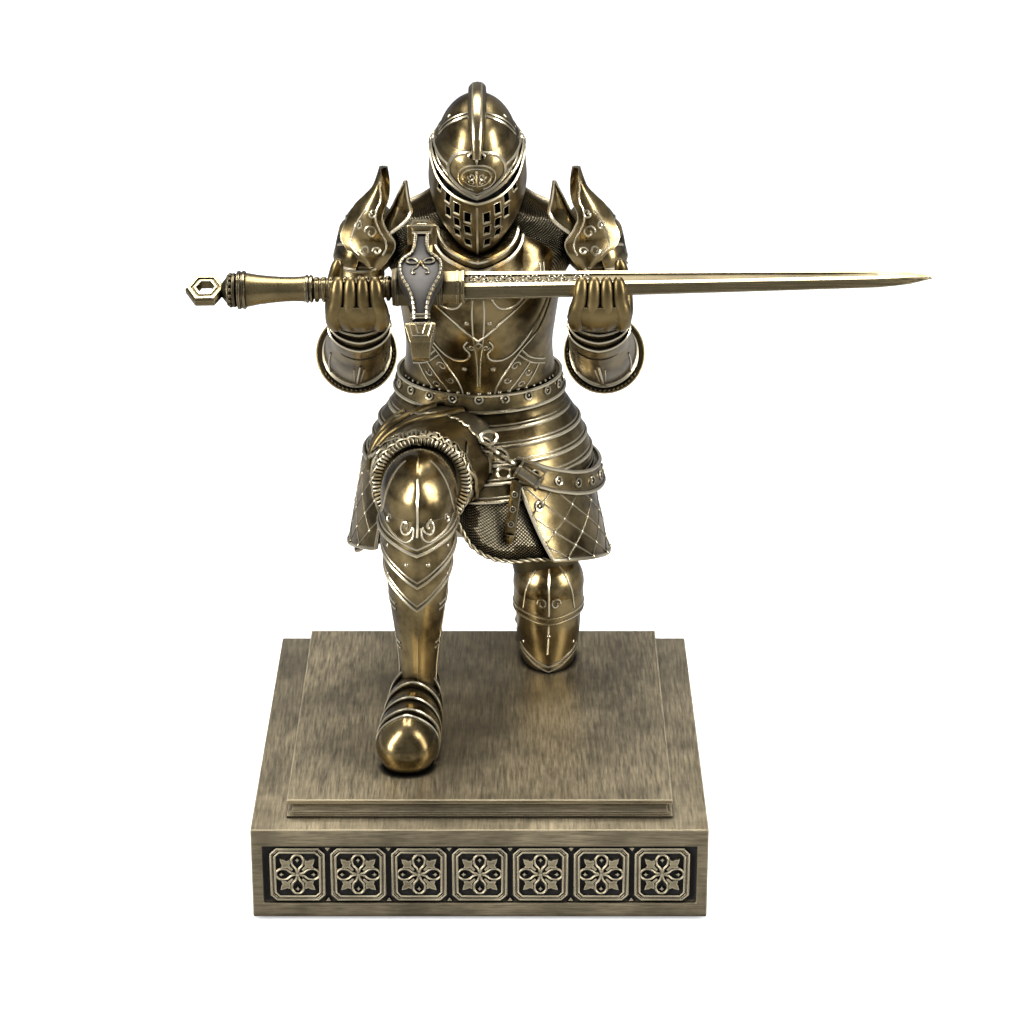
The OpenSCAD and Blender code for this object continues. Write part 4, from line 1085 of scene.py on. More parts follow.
def both_ways(bm, skin, points, radius=0.28, per=4):
    """A raised line and its mirror image on the other half of the chest."""
    line_on(bm, skin, points, radius, per)
    line_on(bm, skin, [(2 * body_middle - x, y, z) for x, y, z in points], radius, per)


chest_rows = [(-0.6, 38, 118.6, 21.6, 18.5, 0, 0.03), (-0.6, 36, 125, 20.6, 18.7, 0, 0.05),
    (-0.6, 34, 131, 20.4, 18.9, 0, 0.08), (-0.6, 31.4, 138.5, 21.2, 19.7, 0, 0.1),
              (-0.6, 29, 147, 22.2, 19.8, 0, 0.08), (-0.6, 26.6, 154, 22.6, 18.0, 0, 0.04),
              (-0.6, 25.6, 159.4, 23.0, 15.6, 0, 0.02), (-0.6, 25.4, 162.4, 22.4, 13.6),
              (-0.6, 25.0, 165.6, 17.4, 12.0), (-0.6, 24.6, 167.4, 12.0, 10.4)]
bm = fresh_mesh()
oval_loft(bm, chest_rows, per=6, sides=80)
flat_cut(bm, (0, 36.4, 0), (0, 1, 0))
skin = skin_of(bm)
for s in (-1, 1):
    line_on(bm, skin, [(-0.6 + s * 0.9, 12, z) for z in (150, 144, 138, 132, 126, 120)], 0.2)
both_ways(bm, skin, [(13.6, 13.4, 150.6), (11, 12.6, 148), (6.3, 11, 144), (2.6, 10.5, 140.6),
    (-0.6, 10.2, 137.8)], 0.34)
both_ways(bm, skin, [(18.4, 18, 150), (17.9, 17.9, 146.5), (13.7, 16.9, 138.6), (9.6, 16.5, 132.7),
    (5.9, 15.4, 130.4), (2.9, 13.5, 130.7), (2.0, 12.3, 132.8), (3.3, 12.1, 135.3), (2.2, 10.8, 137.4)], 0.34)
both_ways(bm, skin, [(19.6, 19, 149), (19.2, 19.2, 145.4), (16.2, 18.4, 138.2), (11.0, 17.2, 132.2),
    (5.4, 19, 124.8), (3.6, 19.8, 119.6)], 0.28)
both_ways(bm, skin, [(11.4, 17.4, 132.4), (14.6, 20, 129), (18.9, 25.6, 127.0)], 0.3)
both_ways(bm, skin, [(10.6, 17.2, 131.0), (14.4, 20.4, 127.6), (18.9, 26, 125.6)], 0.24)
both_ways(bm, skin, [(14.4, 20.4, 127.6), (11.4, 20, 124), (7.2, 20, 118.9)], 0.26)
both_ways(bm, skin, [(17.0, 23.5, 126.4), (14.6, 23, 123), (11.4, 22, 118.9)], 0.24)
both_ways(bm, skin, [(2.4, 10, 150.4), (4.8, 10, 147.6), (8.2, 10.8, 147.2), (11, 12, 149.0),
    (12.4, 12.4, 151.4)], 0.3)
for centre, size, hand in (((9.6, 18.4, 127.6), 1.5, 1), ((13.6, 21, 124.6), 1.3, -1),
        ((7.2, 19, 123.4), 1.1, -1), ((11.2, 21, 121.2), 1.1, 1)):
    both_ways(bm, skin, spiral(centre, (1, 0.4, 0), (0, 0, 1), size, 1.1, hand), 0.22)
for s in (-1, 1):
    line_on(bm, skin, spiral((-0.6 + s * 2.1, 11, 135.2), (s, 0, 0), (0, 0, 1), 1.3, 1.1, -1), 0.28)
    for gap in (0, 1.6):
        line_on(bm, skin, [(-0.6 + s * (16 + gap), 15, 158.5), (-0.6 + s * (16.6 + gap), 15, 152.6)], 0.3)
rivets(bm, skin, [(-3.4, 10, 143.3), (2.2, 10, 143.3), (-4.8, 15, 127.3), (3.6, 15, 127.3)], 0.72)
rivets(bm, skin, [(-0.6 + 22.6 * sin(radians(a)), 38 - 18.4 * cos(radians(a)), 119.9)
    for a in range(-70, 71, 7)], 0.62)
diamond_on_keel = [(-0.6, 10, 137.0), (0.5, 10, 135.8), (-0.6, 10, 134.4), (-1.7, 10, 135.8)]
line_on(bm, skin, diamond_on_keel, 0.3, per=2, closed=True)
add_piece("breast_plate", bm, polished, ["breastplate"])

bm = fresh_mesh()
oval_loft(bm, [(x, y, z, w - 0.2, d - 0.3) for x, y, z, w, d, *_ in chest_rows[:-1]], per=6, sides=72)
flat_cut(bm, (0, 36.0, 0), (0, -1, 0))
skin = skin_of(bm)
for x in (-0.6, 7.4, -8.6):
    line_on(bm, skin, [(-0.6 + (x + 0.6) * 0.7, 56, 121), (x, 52, 132), (-0.6 + (x + 0.6) * 1.4, 48, 148)],
        0.32)
for z in (122.4, 124.2):
    line_on(bm, skin, [(-0.6 + 22 * sin(radians(a)), 38 + 18 * cos(radians(a)), z) for a in range(-80, 81, 10)],
        0.3)
add_piece("back_plate", bm, satin, ["backplate"])

bm = fresh_mesh()
for rows in ([(-0.6, 17.6, 161.2, 14.0, 13.0, 30, 0.1), (-0.6, 16.8, 164, 12.6, 12.4, 30, 0.1),
        (-0.6, 16.4, 165.6, 12.0, 12.1, 30, 0.1)],
             [(-0.6, 16.8, 163.6, 11.6, 11.8, 30, 0.1), (-0.6, 16.3, 166.4, 10.9, 11.5, 30, 0.1),
             (-0.6, 16.2, 167.6, 10.7, 11.4, 30, 0.1)]):
    rings = oval_loft(bm, rows, per=4)
    rim(bm, rings[-2], 0.55)
add_piece("neck_plates", bm, polished, ["gorget"])


# Shoulders. Each pauldron is a domed cop with a spiked haute-piece in front that rises beside the neck, a
# smaller spiked plate inside it and two lames down the arm. The right one is the left one's mirror image.
def other_way(bm):
    """Mirrors a whole mesh to the figure's other side."""
    bmesh.ops.scale(bm, vec=(-1, 1, 1), verts=bm.verts)
    bmesh.ops.reverse_faces(bm, faces=bm.faces[:])


def ribbon(bm, inner, outer, bulge, thick=0.7, across=6, per=4, edges=(0.5, 0.36)):
    """A curved plate between two edge lines, with a rolled edge along each and its middle standing out."""
    first, second = through(inner, per), through(outer, per)
    grid = []
    for a, b in zip(first, second):
        a, b = Vector(a), Vector(b)
        grid.append([bm.verts.new(a.lerp(b, k / across) + Vector(bulge) * sin(k * pi / across))
            for k in range(across + 1)])
    sheet = [bm.faces.new((r[k], r[k + 1], q[k + 1], q[k])) for r, q in zip(grid, grid[1:])
        for k in range(across)]
    bmesh.ops.recalc_face_normals(bm, faces=sheet)
    bmesh.ops.solidify(bm, geom=sheet, thickness=thick)
    for end, radius in zip((0, -1), edges):
        if radius:
            tube(bm, even([r[end].co.copy() for r in grid], 0.5), radius, sides=6)


def side_piece(bm, side, name, material, node, room=None):
    """A finished piece of the left side, or its mirror image on the right, clear of the pen where it has room."""
    if side < 0:
        other_way(bm)
    if room:
        clear_of_sword(bm, room)
    label = "left_" if side > 0 else "right_"
    add_piece(label + name, bm, material, [label + node])


for side in (1, -1):
    bm = fresh_mesh()
    dome(bm, (29.8, 24, 162.6), (7.9, 10.6, 10.2), segments=(40, 26))
    for rows in ([(30.6, 22.4, 165.4, 7.6, 9.4, 14), (31.6, 21.2, 161.6, 7.5, 9.1, 14),
            (32.0, 20.6, 158.8, 7.3, 8.8, 14)],
                 [(31.6, 21, 161.6, 6.7, 8.2, 14), (32.6, 19.8, 156.6, 6.8, 8.1, 14),
                 (33.0, 19.2, 153.6, 6.7, 7.8, 14)]):
        rings = oval_loft(bm, rows, per=4, sides=40)
        rim(bm, rings[-2], 0.48)
        skin = skin_of(bm)
        line_on(bm, skin, [p + Vector((0, 0.2, 1.3)) for p in rings[-2]], 0.22, per=1, closed=True)
    ribbon(bm, [(25.2, 13.0, 185.6), (24.5, 13.4, 181), (24.6, 12.6, 176.6), (26.2, 11.4, 172.4),
        (25.0, 11.6, 168.4), (22.9, 12.0, 164.8), (24.0, 11.4, 161.6), (27.6, 11.2, 157.8)],
                   [(25.6, 13.2, 185.4), (27.6, 13.4, 180), (30.2, 14.2, 177.0), (32.8, 15.2, 174.2),
                   (35.2, 15.2, 170.0), (36.8, 14.8, 165.6), (34.4, 13.0, 162.0), (29.4, 11.4, 158.8)],
                   (0.2, -1.6, 0.4), thick=0.9, across=8, per=5)
    ribbon(bm, [(25.6, 13.2, 185.4), (27.6, 13.4, 180), (30.2, 14.2, 177.0), (32.8, 15.2, 174.2),
        (35.2, 15.2, 170.0), (36.8, 14.8, 165.6)],
           [(25.6, 14.2, 184.8), (26.8, 18, 177.6), (28.4, 22, 173.2), (30.4, 25, 170.6), (33.4, 26, 167.0),
           (35.6, 25, 162.4)], (0.4, 0, 0.5), thick=0.8, across=6, per=5, edges=(0, 0.3))
    ribbon(bm, [(19.6, 13.2, 181.6), (18.9, 13.2, 176.4), (18.4, 13.4, 172.6), (20.6, 12.6, 169.8),
        (24.6, 11.9, 167.0)],
           [(19.8, 13.6, 181.4), (22.0, 14.4, 177.0), (23.6, 14.6, 173.6), (25.4, 14.2, 170.6),
           (26.0, 12.8, 167.2)], (0, -0.7, 0), thick=0.7, across=6, per=5, edges=(0.5, 0.3))
    ribbon(bm, [(19.8, 13.6, 181.4), (22.0, 14.4, 177.0), (23.6, 14.6, 173.6)],
        [(20.2, 15.4, 180.4), (22.4, 19, 174.6), (23.8, 21, 172.0)], (0, 0, 0.4), thick=0.6, across=4, per=5,
        edges=(0, 0.3))
    ribbon(bm, [(30.8, 11.8, 163.2), (33.2, 12.2, 164.2), (36.2, 14.0, 163.8), (38.2, 18, 162.4)],
        [(33.2, 11.6, 157.6), (35.2, 12.0, 157.6), (37.6, 14.2, 157.6), (39.4, 18, 157.4)], (0.3, -0.6, 0),
        thick=0.7, across=5, per=5, edges=(0.5, 0.45))
    skin = skin_of(bm)
    line_on(bm, skin, [(26.6, 10, 182), (26.0, 10, 177.4), (27.6, 9, 172.6), (26.6, 9, 168.6), (24.6, 9, 164.8),
        (25.6, 9, 162)], 0.26)
    for centre, size, hand in (((29.2, 9, 168.0), 2.1, 1), ((31.0, 9, 163.8), 1.7, -1),
            ((28.4, 9, 173.6), 1.5, -1), ((33.0, 10, 169.8), 1.6, 1), ((27.4, 9, 163.4), 1.3, 1)):
        line_on(bm, skin, spiral(centre, (1, 0, 0), (0, 0, 1), size, 1.2, hand), 0.28)
    line_on(bm, skin, [(31.6, 9, 174.6), (33.6, 10, 171.6), (35, 10, 168), (35.4, 10, 164.6), (33, 9, 161.8)],
        0.26)
    for z in (161, 165, 169):
        line_on(bm, skin, [(34.6, 14, z - 1), (36.8, 19, z), (37, 25, z)], 0.3)
    rivets(bm, skin, [(36.6, 14.4, 161.0), (38.2, 18.2, 160.4)], 0.7)
    side_piece(bm, side, "shoulder_plates", polished, "pauldron")


# Arms. A rerebrace closes round each upper arm, a winged couter cups the elbow with a roped rim, and a vambrace
# of two heart-shaped halves meets at a raised seam. Three pointed lames close the wrist.
for side in (1, -1):
    bm = fresh_mesh()
    for rows in ([(32.6, 21.5, 161, 5.8, 6.8, 18), (33.4, 18, 152, 6.3, 7.2, 18),
            (33.6, 16.4, 147, 6.6, 7.3, 18)],
                 [(33.4, 17, 150, 5.8, 6.6, 18), (33.7, 14.6, 143, 6.2, 6.8, 18),
                 (33.8, 13, 138, 6.6, 7.0, 24)]):
        rings = oval_loft(bm, rows, per=4, sides=40)
        rim(bm, rings[-2], 0.45)
    side_piece(bm, side, "upper_arm", satin, "rerebrace")

    bm = fresh_mesh()
    rows = [(33.3, 19, 132.4, 3.0, 3.4, 62), (33.3, 17.4, 132.8, 6.6, 7.0, 62),
        (33.3, 13.4, 133.4, 9.2, 9.6, 62), (33.3, 10.8, 134.0, 10.5, 10.6, 62),
        (33.3, 9.4, 134.5, 10.9, 10.9, 62), (33.3, 8.2, 135.0, 10.7, 10.7, 62)]
    rings = oval_loft(bm, rows, per=4, sides=64, fold=1.5)
    rim(bm, rings[-2], 0.3)
    lip = Matrix.Translation((33.3, 8.2, 134.8)) @ Matrix.Rotation(radians(62), 4, "X")
    for k in range(-14, 9):
        a = k * pi / 26
        tube(bm, [lip @ Vector((10.0 * sin(a - 0.05), -10.0 * cos(a - 0.05), -0.1)),
            lip @ Vector((9.9 * sin(a), -9.9 * cos(a), 0.3)),
            lip @ Vector((9.7 * sin(a + 0.06), -9.7 * cos(a + 0.06), -0.1))], [0.15, 0.36, 0.15], sides=5)
    skin = skin_of(bm)
    for s in (-1, 1):
        line_on(bm, skin, [(33.3 + s * 2, 18, 127), (33.3 + s * 6, 14, 126), (33.3 + s * 9, 10, 128)], 0.3)
    side_piece(bm, side, "elbow_plate", dark, "couter")

    bm = fresh_mesh()
    forearm = [(33.3, 9.4, 134.6, 8.9, 9.1, 58, 0.02), (32.9, 4.5, 137.4, 8.9, 9.0, 58, 0.02),
        (32.2, -3, 141.6, 8.6, 8.4, 58, 0.02), (31.5, -9, 145, 8.0, 7.4, 58, 0.02),
        (31.0, -13.2, 147.3, 7.5, 6.6, 58, 0.02)]
    rings = oval_loft(bm, forearm, per=6, sides=56)
    skin = skin_of(bm)
    for index, radius in ((2, 0.5), (4, 0.3)):
        rim(bm, rings[index], radius)
    line_on(bm, skin, [(32.8, 2, 127), (32.4, -4, 131), (31.8, -9, 135), (31.2, -13, 139)], 0.4)
    for s in (-1, 1):
        line_on(bm, skin, [(32.9, 0.4, 128.4), (32.9 + s * 1.6, 2.4, 127), (32.9 + s * 4.2, 4.2, 127.4),
            (32.9 + s * 7, 5.4, 129.6)], 0.34)
        line_on(bm, skin, [(32.9 + s * 7.6, 3.0, 131.4), (32.6 + s * 8.2, -3, 136), (31.9 + s * 7.4, -9, 141)],
            0.3)
        line_on(bm, skin, [(32.5 + s * 0.9, -2, 129.6), (32.1 + s * 1.2, -7, 133), (31.6 + s * 1.4, -11, 137)],
            0.2)
    cuffs = [
        [(31.2, -11, 146.4, 8.0, 7.0, 58, 0.03, 0.6), (30.9, -17.5, 150.9, 8.0, 6.4, 57, 0.03, 1.0),
        (30.9, -18.6, 151.7, 8.0, 6.1, 56, 0.03, 1.2)],
        [(31, -15.5, 149.8, 7.6, 6.0, 57, 0.03, 0.6), (30.8, -20.6, 153.2, 7.7, 5.3, 55, 0.03, 1.0),
        (30.8, -21.6, 153.9, 7.7, 5.1, 54, 0.03, 1.2)],
        [(30.8, -19.0, 152.6, 7.2, 4.9, 54, 0.03, 0.6), (30.7, -23.4, 155.4, 7.4, 4.4, 52, 0.03, 1.0),
        (30.7, -24.4, 156.0, 7.4, 4.2, 50, 0.03, 1.2)],
    ]
    for rows in cuffs:
        rings = oval_loft(bm, rows, per=3, sides=56)
        rim(bm, rings[-2], 0.42)
    side_piece(bm, side, "forearm_plates", polished, "vambrace")


# Hands. Gauntlets cast with the arms: palms up, four fingers standing in front of the sword and the thumb
# behind it, which together leave an open slot that the pen rests in and lifts out of.
sword_at, sword_rise, sword_roll = (-14.5, -26, 164.9), 1.1, 27
in_sword = Matrix.Translation(sword_at) @ Matrix.Rotation(radians(-sword_rise), 4,
    "Y") @ Matrix.Rotation(radians(sword_roll), 4, "X")


def clear_of_sword(bm, room):
    """Pushes a surface out of the open slot round the sword's length."""
    for v in bm.verts:
        axis_z = sword_at[2] + (v.co.x - sword_at[0]) * math.tan(radians(sword_rise))
        away = Vector((0, v.co.y - sword_at[1], v.co.z - axis_z))
        if away.z > 0:
            if abs(away.y) < room:
                v.co.y = sword_at[1] + math.copysign(room, away.y)
        elif away.length < room:
            away = away.normalized() * room
            v.co.y, v.co.z = sword_at[1] + away.y, axis_z + away.z


for side, room in ((1, 5.0), (-1, 3.7)):
    bm = fresh_mesh()
    oval_loft(bm, [(30.7, -18.0, 152.4, 6.2, 4.4, 56), (30.7, -22.4, 155.2, 7.2, 4.4, 50),
        (30.6, -26.6, 157.0, 8.0, 4.0, 44), (30.6, -30.2, 158.4, 8.1, 3.5, 36),
        (30.6, -32.6, 160.4, 7.8, 2.6, 26), (30.6, -33.8, 162.6, 7.0, 1.3, 20)], per=5, sides=44)
    side_piece(bm, side, "gauntlet", satin, "palm", room)

    bm = fresh_mesh()
    for x in (24.9, 28.8, 32.7, 36.5):
        fan = (x - 30.7) * 0.1
        keys = [(x - fan * 0.6, -25.4, 155.2, 1.9), (x - fan * 0.4, -28.6, 156.0, 2.25),
            (x, -31.2, 157.8, 2.35), (x, -32.8, 160.6, 2.2), (x - fan * 1.2, -33.3, 163.5, 1.98),
            (x - fan * 1.6, -33.5, 166.4, 1.84), (x - fan * 2, -33.2, 168.6, 1.5),
            (x - fan * 2, -33.0, 169.7, 0.8)]
        rows = through(keys, 4)
        tube(bm, [r[:3] for r in rows], [r[3] for r in rows], sides=14, raised=0.0)
    side_piece(bm, side, "fingers_cast", satin, "fingers", room)

    bm = fresh_mesh()
    rows = through([(36.4, -21.5, 152.5, 2.2), (37.3, -19.5, 155.8, 2.4), (37.4, -17.9, 160, 2.2),
        (37.2, -17.7, 163.4, 2.0), (36.6, -18.0, 166.6, 1.8), (36.2, -18.4, 168.7, 1.4),
        (36.1, -18.6, 169.8, 0.7)], 4)
    tube(bm, [r[:3] for r in rows], [r[3] for r in rows], sides=14, raised=0.0)
    side_piece(bm, side, "thumb_cast", satin, "thumb", room)


# Helmet. A close helmet bowed forward: a skull with a rounded comb, a visor with a pointed brow over the sight,
# and a keeled bevor pierced with rows of breaths. The plates turn on a pivot at each side on the real armour.
in_head = Matrix.Translation((-0.6, 9.5, 187)) @ Matrix.Rotation(radians(27), 4, "X")


def head_piece(name, bm, material, stands_for=(), sharp=40):
    """A piece drawn upright at the head's middle, bowed with it."""
    bmesh.ops.transform(bm, matrix=in_head, verts=bm.verts)
    return add_piece(name, bm, material, stands_for, sharp=sharp)


def both_sides(bm, skin, points, radius):
    """A raised line on each side of the head."""
    for s in (-1, 1):
        line_on(bm, skin, [(s * x, y, z) for x, y, z in points], radius)


bm = fresh_mesh()
oval_loft(bm, [(0, 6.4, -17, 8.8, 8.2), (0, 5.6, -13, 10.2, 10.4), (0, 4.8, -8, 10.9, 12),
    (0, 3.4, -2, 10.9, 13.6), (0, 2.4, 3, 10.9, 14.4),
               (0, 2.3, 8.6, 10.3, 13.6), (0, 2.3, 13.2, 8.5, 11.2), (0, 2.3, 16.2, 5.9, 7.8),
               (0, 2.3, 17.7, 2.7, 3.7), (0, 2.3, 18.1, 0.3, 0.4)], per=5, sides=72, fold=0)
skin = skin_of(bm)
for shift in (0, 1.3):
    both_sides(bm, skin, [(2.2, -1 + shift, 19.5), (5.2, -1 + shift, 17.2), (8.0, -0.4 + shift, 14),
        (10.0, 0.6 + shift, 10), (11.2, 2 + shift, 6)], 0.45 - 0.1 * shift)
both_sides(bm, skin, [(2, 17, 4), (7, 15, 4), (11, 10, 3.4), (12.4, 5, 2.6)], 0.3)
rivets(bm, skin, [(s * 7.4, 2.2, 15) for s in (-1, 1)] + [(s * 10.8, 3.6, 10.4) for s in (-1, 1)], 0.6)
for k in range(9):
    a = radians(-80 + k * 20)
    rivets(bm, skin, [(11.6 * sin(a), 5.4 + 11.6 * cos(a), -10.5)], 0.62)
bowl_skin = skin
head_piece("helmet_bowl", bm, polished, ["helmet_skull"])

bm = fresh_mesh()
comb, widths = [], []
for k in range(31):
    a = radians(-56 + k * 5.6)
    place, normal, _, _ = bowl_skin.ray_cast(Vector((0, 2.4 + 40 * sin(a), 3 + 40 * cos(a))),
        Vector((0, -sin(a), -cos(a))))
    comb.append(place + normal * 0.7)
    widths.append(1.2 + 1.15 * min(1, k / 7) - 1.2 * max(0, (k - 24) / 6))
tube(bm, comb, widths, sides=16, flat=0.8, raised=0.15)
skin = skin_of(bm)
for s in (-1, 1):
    line_on(bm, skin, [c + (c - Vector((0, 2.4, 3))).normalized() * 2 + Vector((s * w * 0.62, 0, 0)) for c,
        w in list(zip(comb, widths))[3:27:2]], 0.17, per=3)
tube(bm, [(0, -8.2, 13.6), (0, -9.6, 13.2), (0, -10.9, 12.0), (0, -11.6, 10.4)], [0.9, 1.0, 0.6, 0.15], sides=8)
for s in (-1, 1):
    tube(bm, [(0, -9.2, 12.9), (s * 1.2, -9.6, 13), (s * 2.1, -9.9, 12.2), (s * 1.9, -10.2, 11.4)],
        [0.6, 0.55, 0.45, 0.2], sides=6)
head_piece("helmet_crest", bm, polished, ["helmet_comb"])

# A near black shell just inside the visor and bevor: painted shadow showing through the sight and the breaths.
void = blackened("shadow_black", 0.85, 1500.0, (0.002, 0.002, 0.002), (0.012, 0.009, 0.006))
bm = fresh_mesh()
oval_loft(bm, [(0, 1.6, 6.5, 11.1, 13.3, 0, 0.04), (0, 1.5, 2, 11.3, 13.4, 0, 0.04),
    (0, 1.6, -3, 11.6, 13.0, 0, 0.08)], sides=56)
head_piece("sight_painted_shadow", bm, void)

bm = fresh_mesh()
visor = [(0, 2.2, 14.4, 6.2, 8.6), (0, 2.0, 12.8, 8.3, 11.1), (0, 1.8, 10.2, 10.2, 13.1, 0, 0.02, 0.2),
    (0, 1.6, 8, 11.1, 14.0, 0, 0.03, 1.6), (0, 1.5, 7, 11.5, 14.4, 0, 0.04, 3.9),
    (0, 1.5, 6.8, 11.9, 14.6, 0, 0.05, 6.2)]
rings = oval_loft(bm, visor, per=6, sides=72, fold=0.7)
flat_cut(bm, (0, 5.4, 0), (0, 1, 0))
skin = skin_of(bm)
low = [p for p in rings[-2] if p.y < 5]
low.sort(key=lambda p: math.atan2(p.x, -p.y))
tube(bm, low, 0.5, sides=6)
line_on(bm, skin, [p + Vector((0, 0, 1.5)) for p in low], 0.24, per=1)
both_sides(bm, skin, [(0, -9.8, 13.4), (3.2, -9, 12.4), (5.8, -8.4, 10.6), (7.2, -8.6, 7.8), (6.8, -9.6, 5.4),
    (4.6, -11.8, 3.6), (1.8, -13.4, 2.2), (0, -14.2, 1.2)], 0.55)
line_on(bm, skin, [(5.3 * cos(k * pi / 10), -12, 6.9 + 3.7 * sin(k * pi / 10)) for k in range(20)], 0.26, per=2,
    closed=True)
line_on(bm, skin, [(3.9 * cos(k * pi / 8), -12, 6.9 + 2.5 * sin(k * pi / 8)) for k in range(16)], 0.2, per=2,
    closed=True)
for s in (-1, 1):
    line_on(bm, skin, spiral((s * 1.5, -13, 7.4), (s, 0, 0), (0, 0, 1), 1.2, 1.1, -1), 0.26)
    line_on(bm, skin, spiral((s * 1.3, -13, 5.6), (s, 0, 0), (0, 0, 1), 0.9, 1.0, 1), 0.24)
line_on(bm, skin, [(0, -12, 9), (0, -13, 7), (0, -14, 4.6)], 0.36)
both_sides(bm, skin, [(7.0, -8.6, 7.8), (9.2, -5.4, 7.8), (10.8, -1.4, 7.8), (11.6, 2.4, 7.4)], 0.5)
both_sides(bm, skin, [(7.2, -9.2, 5.8), (9.4, -6.0, 6.0), (11, -2, 6.2), (11.8, 2.4, 6.2)], 0.3)
rivets(bm, skin, [(s * x, y, z) for s in (-1, 1) for x, y,
    z in ((8.9, -8, 4.9), (11, -4.6, 5.1), (12.5, -0.6, 5.1))], 0.5)
head_piece("visor_plate", bm, polished, ["visor"])

# Bevor. The lower face plate: keeled, widest at the jaw and pointed at the chin, with a bright rolled upper
# edge. The breaths are cut right through it, in columns of up to three on each side.
bm = fresh_mesh()
rings = keeled([(0, 1.7, -4, 11.2, 12.4, 0.18, 5), (0, 1.7, -1.2, 11.6, 12.8, 0.22, 5),
    (0, 1.7, -0.2, 12.3, 13.6, 0.22, 5), (0, 1.9, -4, 12.8, 13.3, 0.34, 3), (0, 2, -8, 13.0, 12.9, 0.38, 1),
                (0, 2.2, -13, 12.0, 12.3, 0.38, 0), (0, 2.2, -17, 10.2, 11.7, 0.36, 0),
                (0, 1.8, -21, 7.6, 10.8, 0.33, 0), (0, 1.2, -24, 5.0, 9.8, 0.30, 0),
                (0, 0.8, -25.8, 3.2, 8.8, 0.25, 0)], bm)
top_edge = rings[10]
breaths = [(2.5, -4.6), (2.5, -9.4), (2.5, -15.2), (5.3, -2.9), (5.3, -7.8), (5.3, -12.4), (7.6, -0.9),
    (7.6, -5.6), (9.7, 0.6)]
skin = skin_of(bm)
cutter = bmesh.new()
holes = []
for s in (-1, 1):
    for x, z in breaths:
        place, normal, _, _ = skin.ray_cast(Vector((s * x, -40, z - 0.2)), Vector((0, 1, 0)))
        side = Vector((0, 0, 1)).cross(normal).normalized()
        up = normal.cross(side)
        turn = Matrix((side, up, normal)).transposed().to_4x4()
        holes.append((place, side, up, normal))
        bmesh.ops.create_cube(cutter, size=1, matrix=Matrix.Translation(place) @ turn @ Matrix.Diagonal((1.6,
            3.3, 3.4, 1)))


def carved(bm, cutter, name):
    """Cuts one closed mesh out of another and gives back the result."""
    objects = []
    for key, mesh in ((name + "_whole", bm), (name + "_cut", cutter)):
        data = bpy.data.meshes.new(key)
        mesh.to_mesh(data)
        mesh.free()
        objects.append(bpy.data.objects.new(key, data))
        bpy.context.scene.collection.objects.link(objects[-1])
    carve = objects[0].modifiers.new("carve", "BOOLEAN")
    carve.operation, carve.solver, carve.object = "DIFFERENCE", "EXACT", objects[1]
    done = bmesh.new()
    done.from_object(objects[0], bpy.context.evaluated_depsgraph_get())
    for piece in objects:
        data = piece.data
        bpy.data.objects.remove(piece)
        bpy.data.meshes.remove(data)
    return done


bm = carved(bm, cutter, "bevor")
for place, side, up, normal in holes:
    corner = [place + side * sx * 1.0 + up * sy * 1.85 for sx, sy in ((-1, -1), (1, -1), (1, 1), (-1, 1))]
    corner = [skin.find_nearest(p)[0] for p in corner]
    tube(bm, corner, 0.22, closed=True, sides=5, raised=0.5)
    tube(bm, [corner[0], corner[1]], 0.34, sides=6)
tube(bm, top_edge, 0.46, closed=True, sides=6)
keel = [skin.ray_cast(Vector((0, -40, z)), Vector((0, 1, 0)))[0] for z in (-1, -5, -10, -15, -20, -25)]
tube(bm, keel, 0.3, sides=6)
line_on(bm, skin, [p + Vector((0, 0, 1.4)) for p in rings[-1] if p.y < 6], 0.3, per=1)
head_piece("bevor_plate", bm, satin, ["face_plate"])

bm = fresh_mesh()
for s in (-1, 1):
    for radius, thick, out in ((2.1, 0.42, 11.6), (1.1, 0.8, 11.9)):
        ring = [(s * out, 2.6 + radius * cos(k * pi / 8), 5.4 + radius * sin(k * pi / 8)) for k in range(16)]
        tube(bm, ring, thick, closed=True, sides=6, up=Vector((1, 0, 0)))
    bmesh.ops.create_uvsphere(bm, u_segments=12, v_segments=8, radius=1,
        matrix=Matrix.Translation((s * 11.7, 2.6, 5.4)) @ Matrix.Diagonal((1.1, 1.3, 1.3, 1)))
head_piece("visor_pivot_studs", bm, polished, ["visor_pivots"])


# Pommel. A six-sided ring cast with a beaded collar; the collar's stud turns in the end of the grip.
# Turning the pommel feeds the ink refill.
hilt = aged_bronze("hilt_satin", (0.08, 0.06, 0.026), (0.31, 0.235, 0.115), (0.9, 0.78, 0.52), 0.26, patina=0.4)
hilt_dark = aged_bronze("hilt_dark", (0.03, 0.026, 0.018), (0.13, 0.105, 0.06), (0.7, 0.58, 0.36), 0.36)


def sword_piece(name, bm, material, stands_for, body="sword_hilt", sharp=35):
    """A piece drawn along X from the guard's middle, laid where the pen rests."""
    bmesh.ops.transform(bm, matrix=in_sword, verts=bm.verts)
    return add_piece(name, bm, material, stands_for, body, sharp)


def turned(bm, profile, steps=56):
    """A solid turned about the sword's length from (along, radius) points."""
    verts = [bm.verts.new((x, 0, r)) for x, r in profile]
    pairs = list(zip(verts, verts[1:]))
    if profile[0][1] > 0:
        pairs.append((verts[-1], verts[0]))
    edges = [bm.edges.new(pair) for pair in pairs]
    bmesh.ops.spin(bm, geom=verts + edges, cent=(0, 0, 0), axis=(1, 0, 0), angle=2 * pi, steps=steps,
        use_merge=True)
    bmesh.ops.remove_doubles(bm, verts=bm.verts[:], dist=0.0005)
    bmesh.ops.recalc_face_normals(bm, faces=bm.faces)


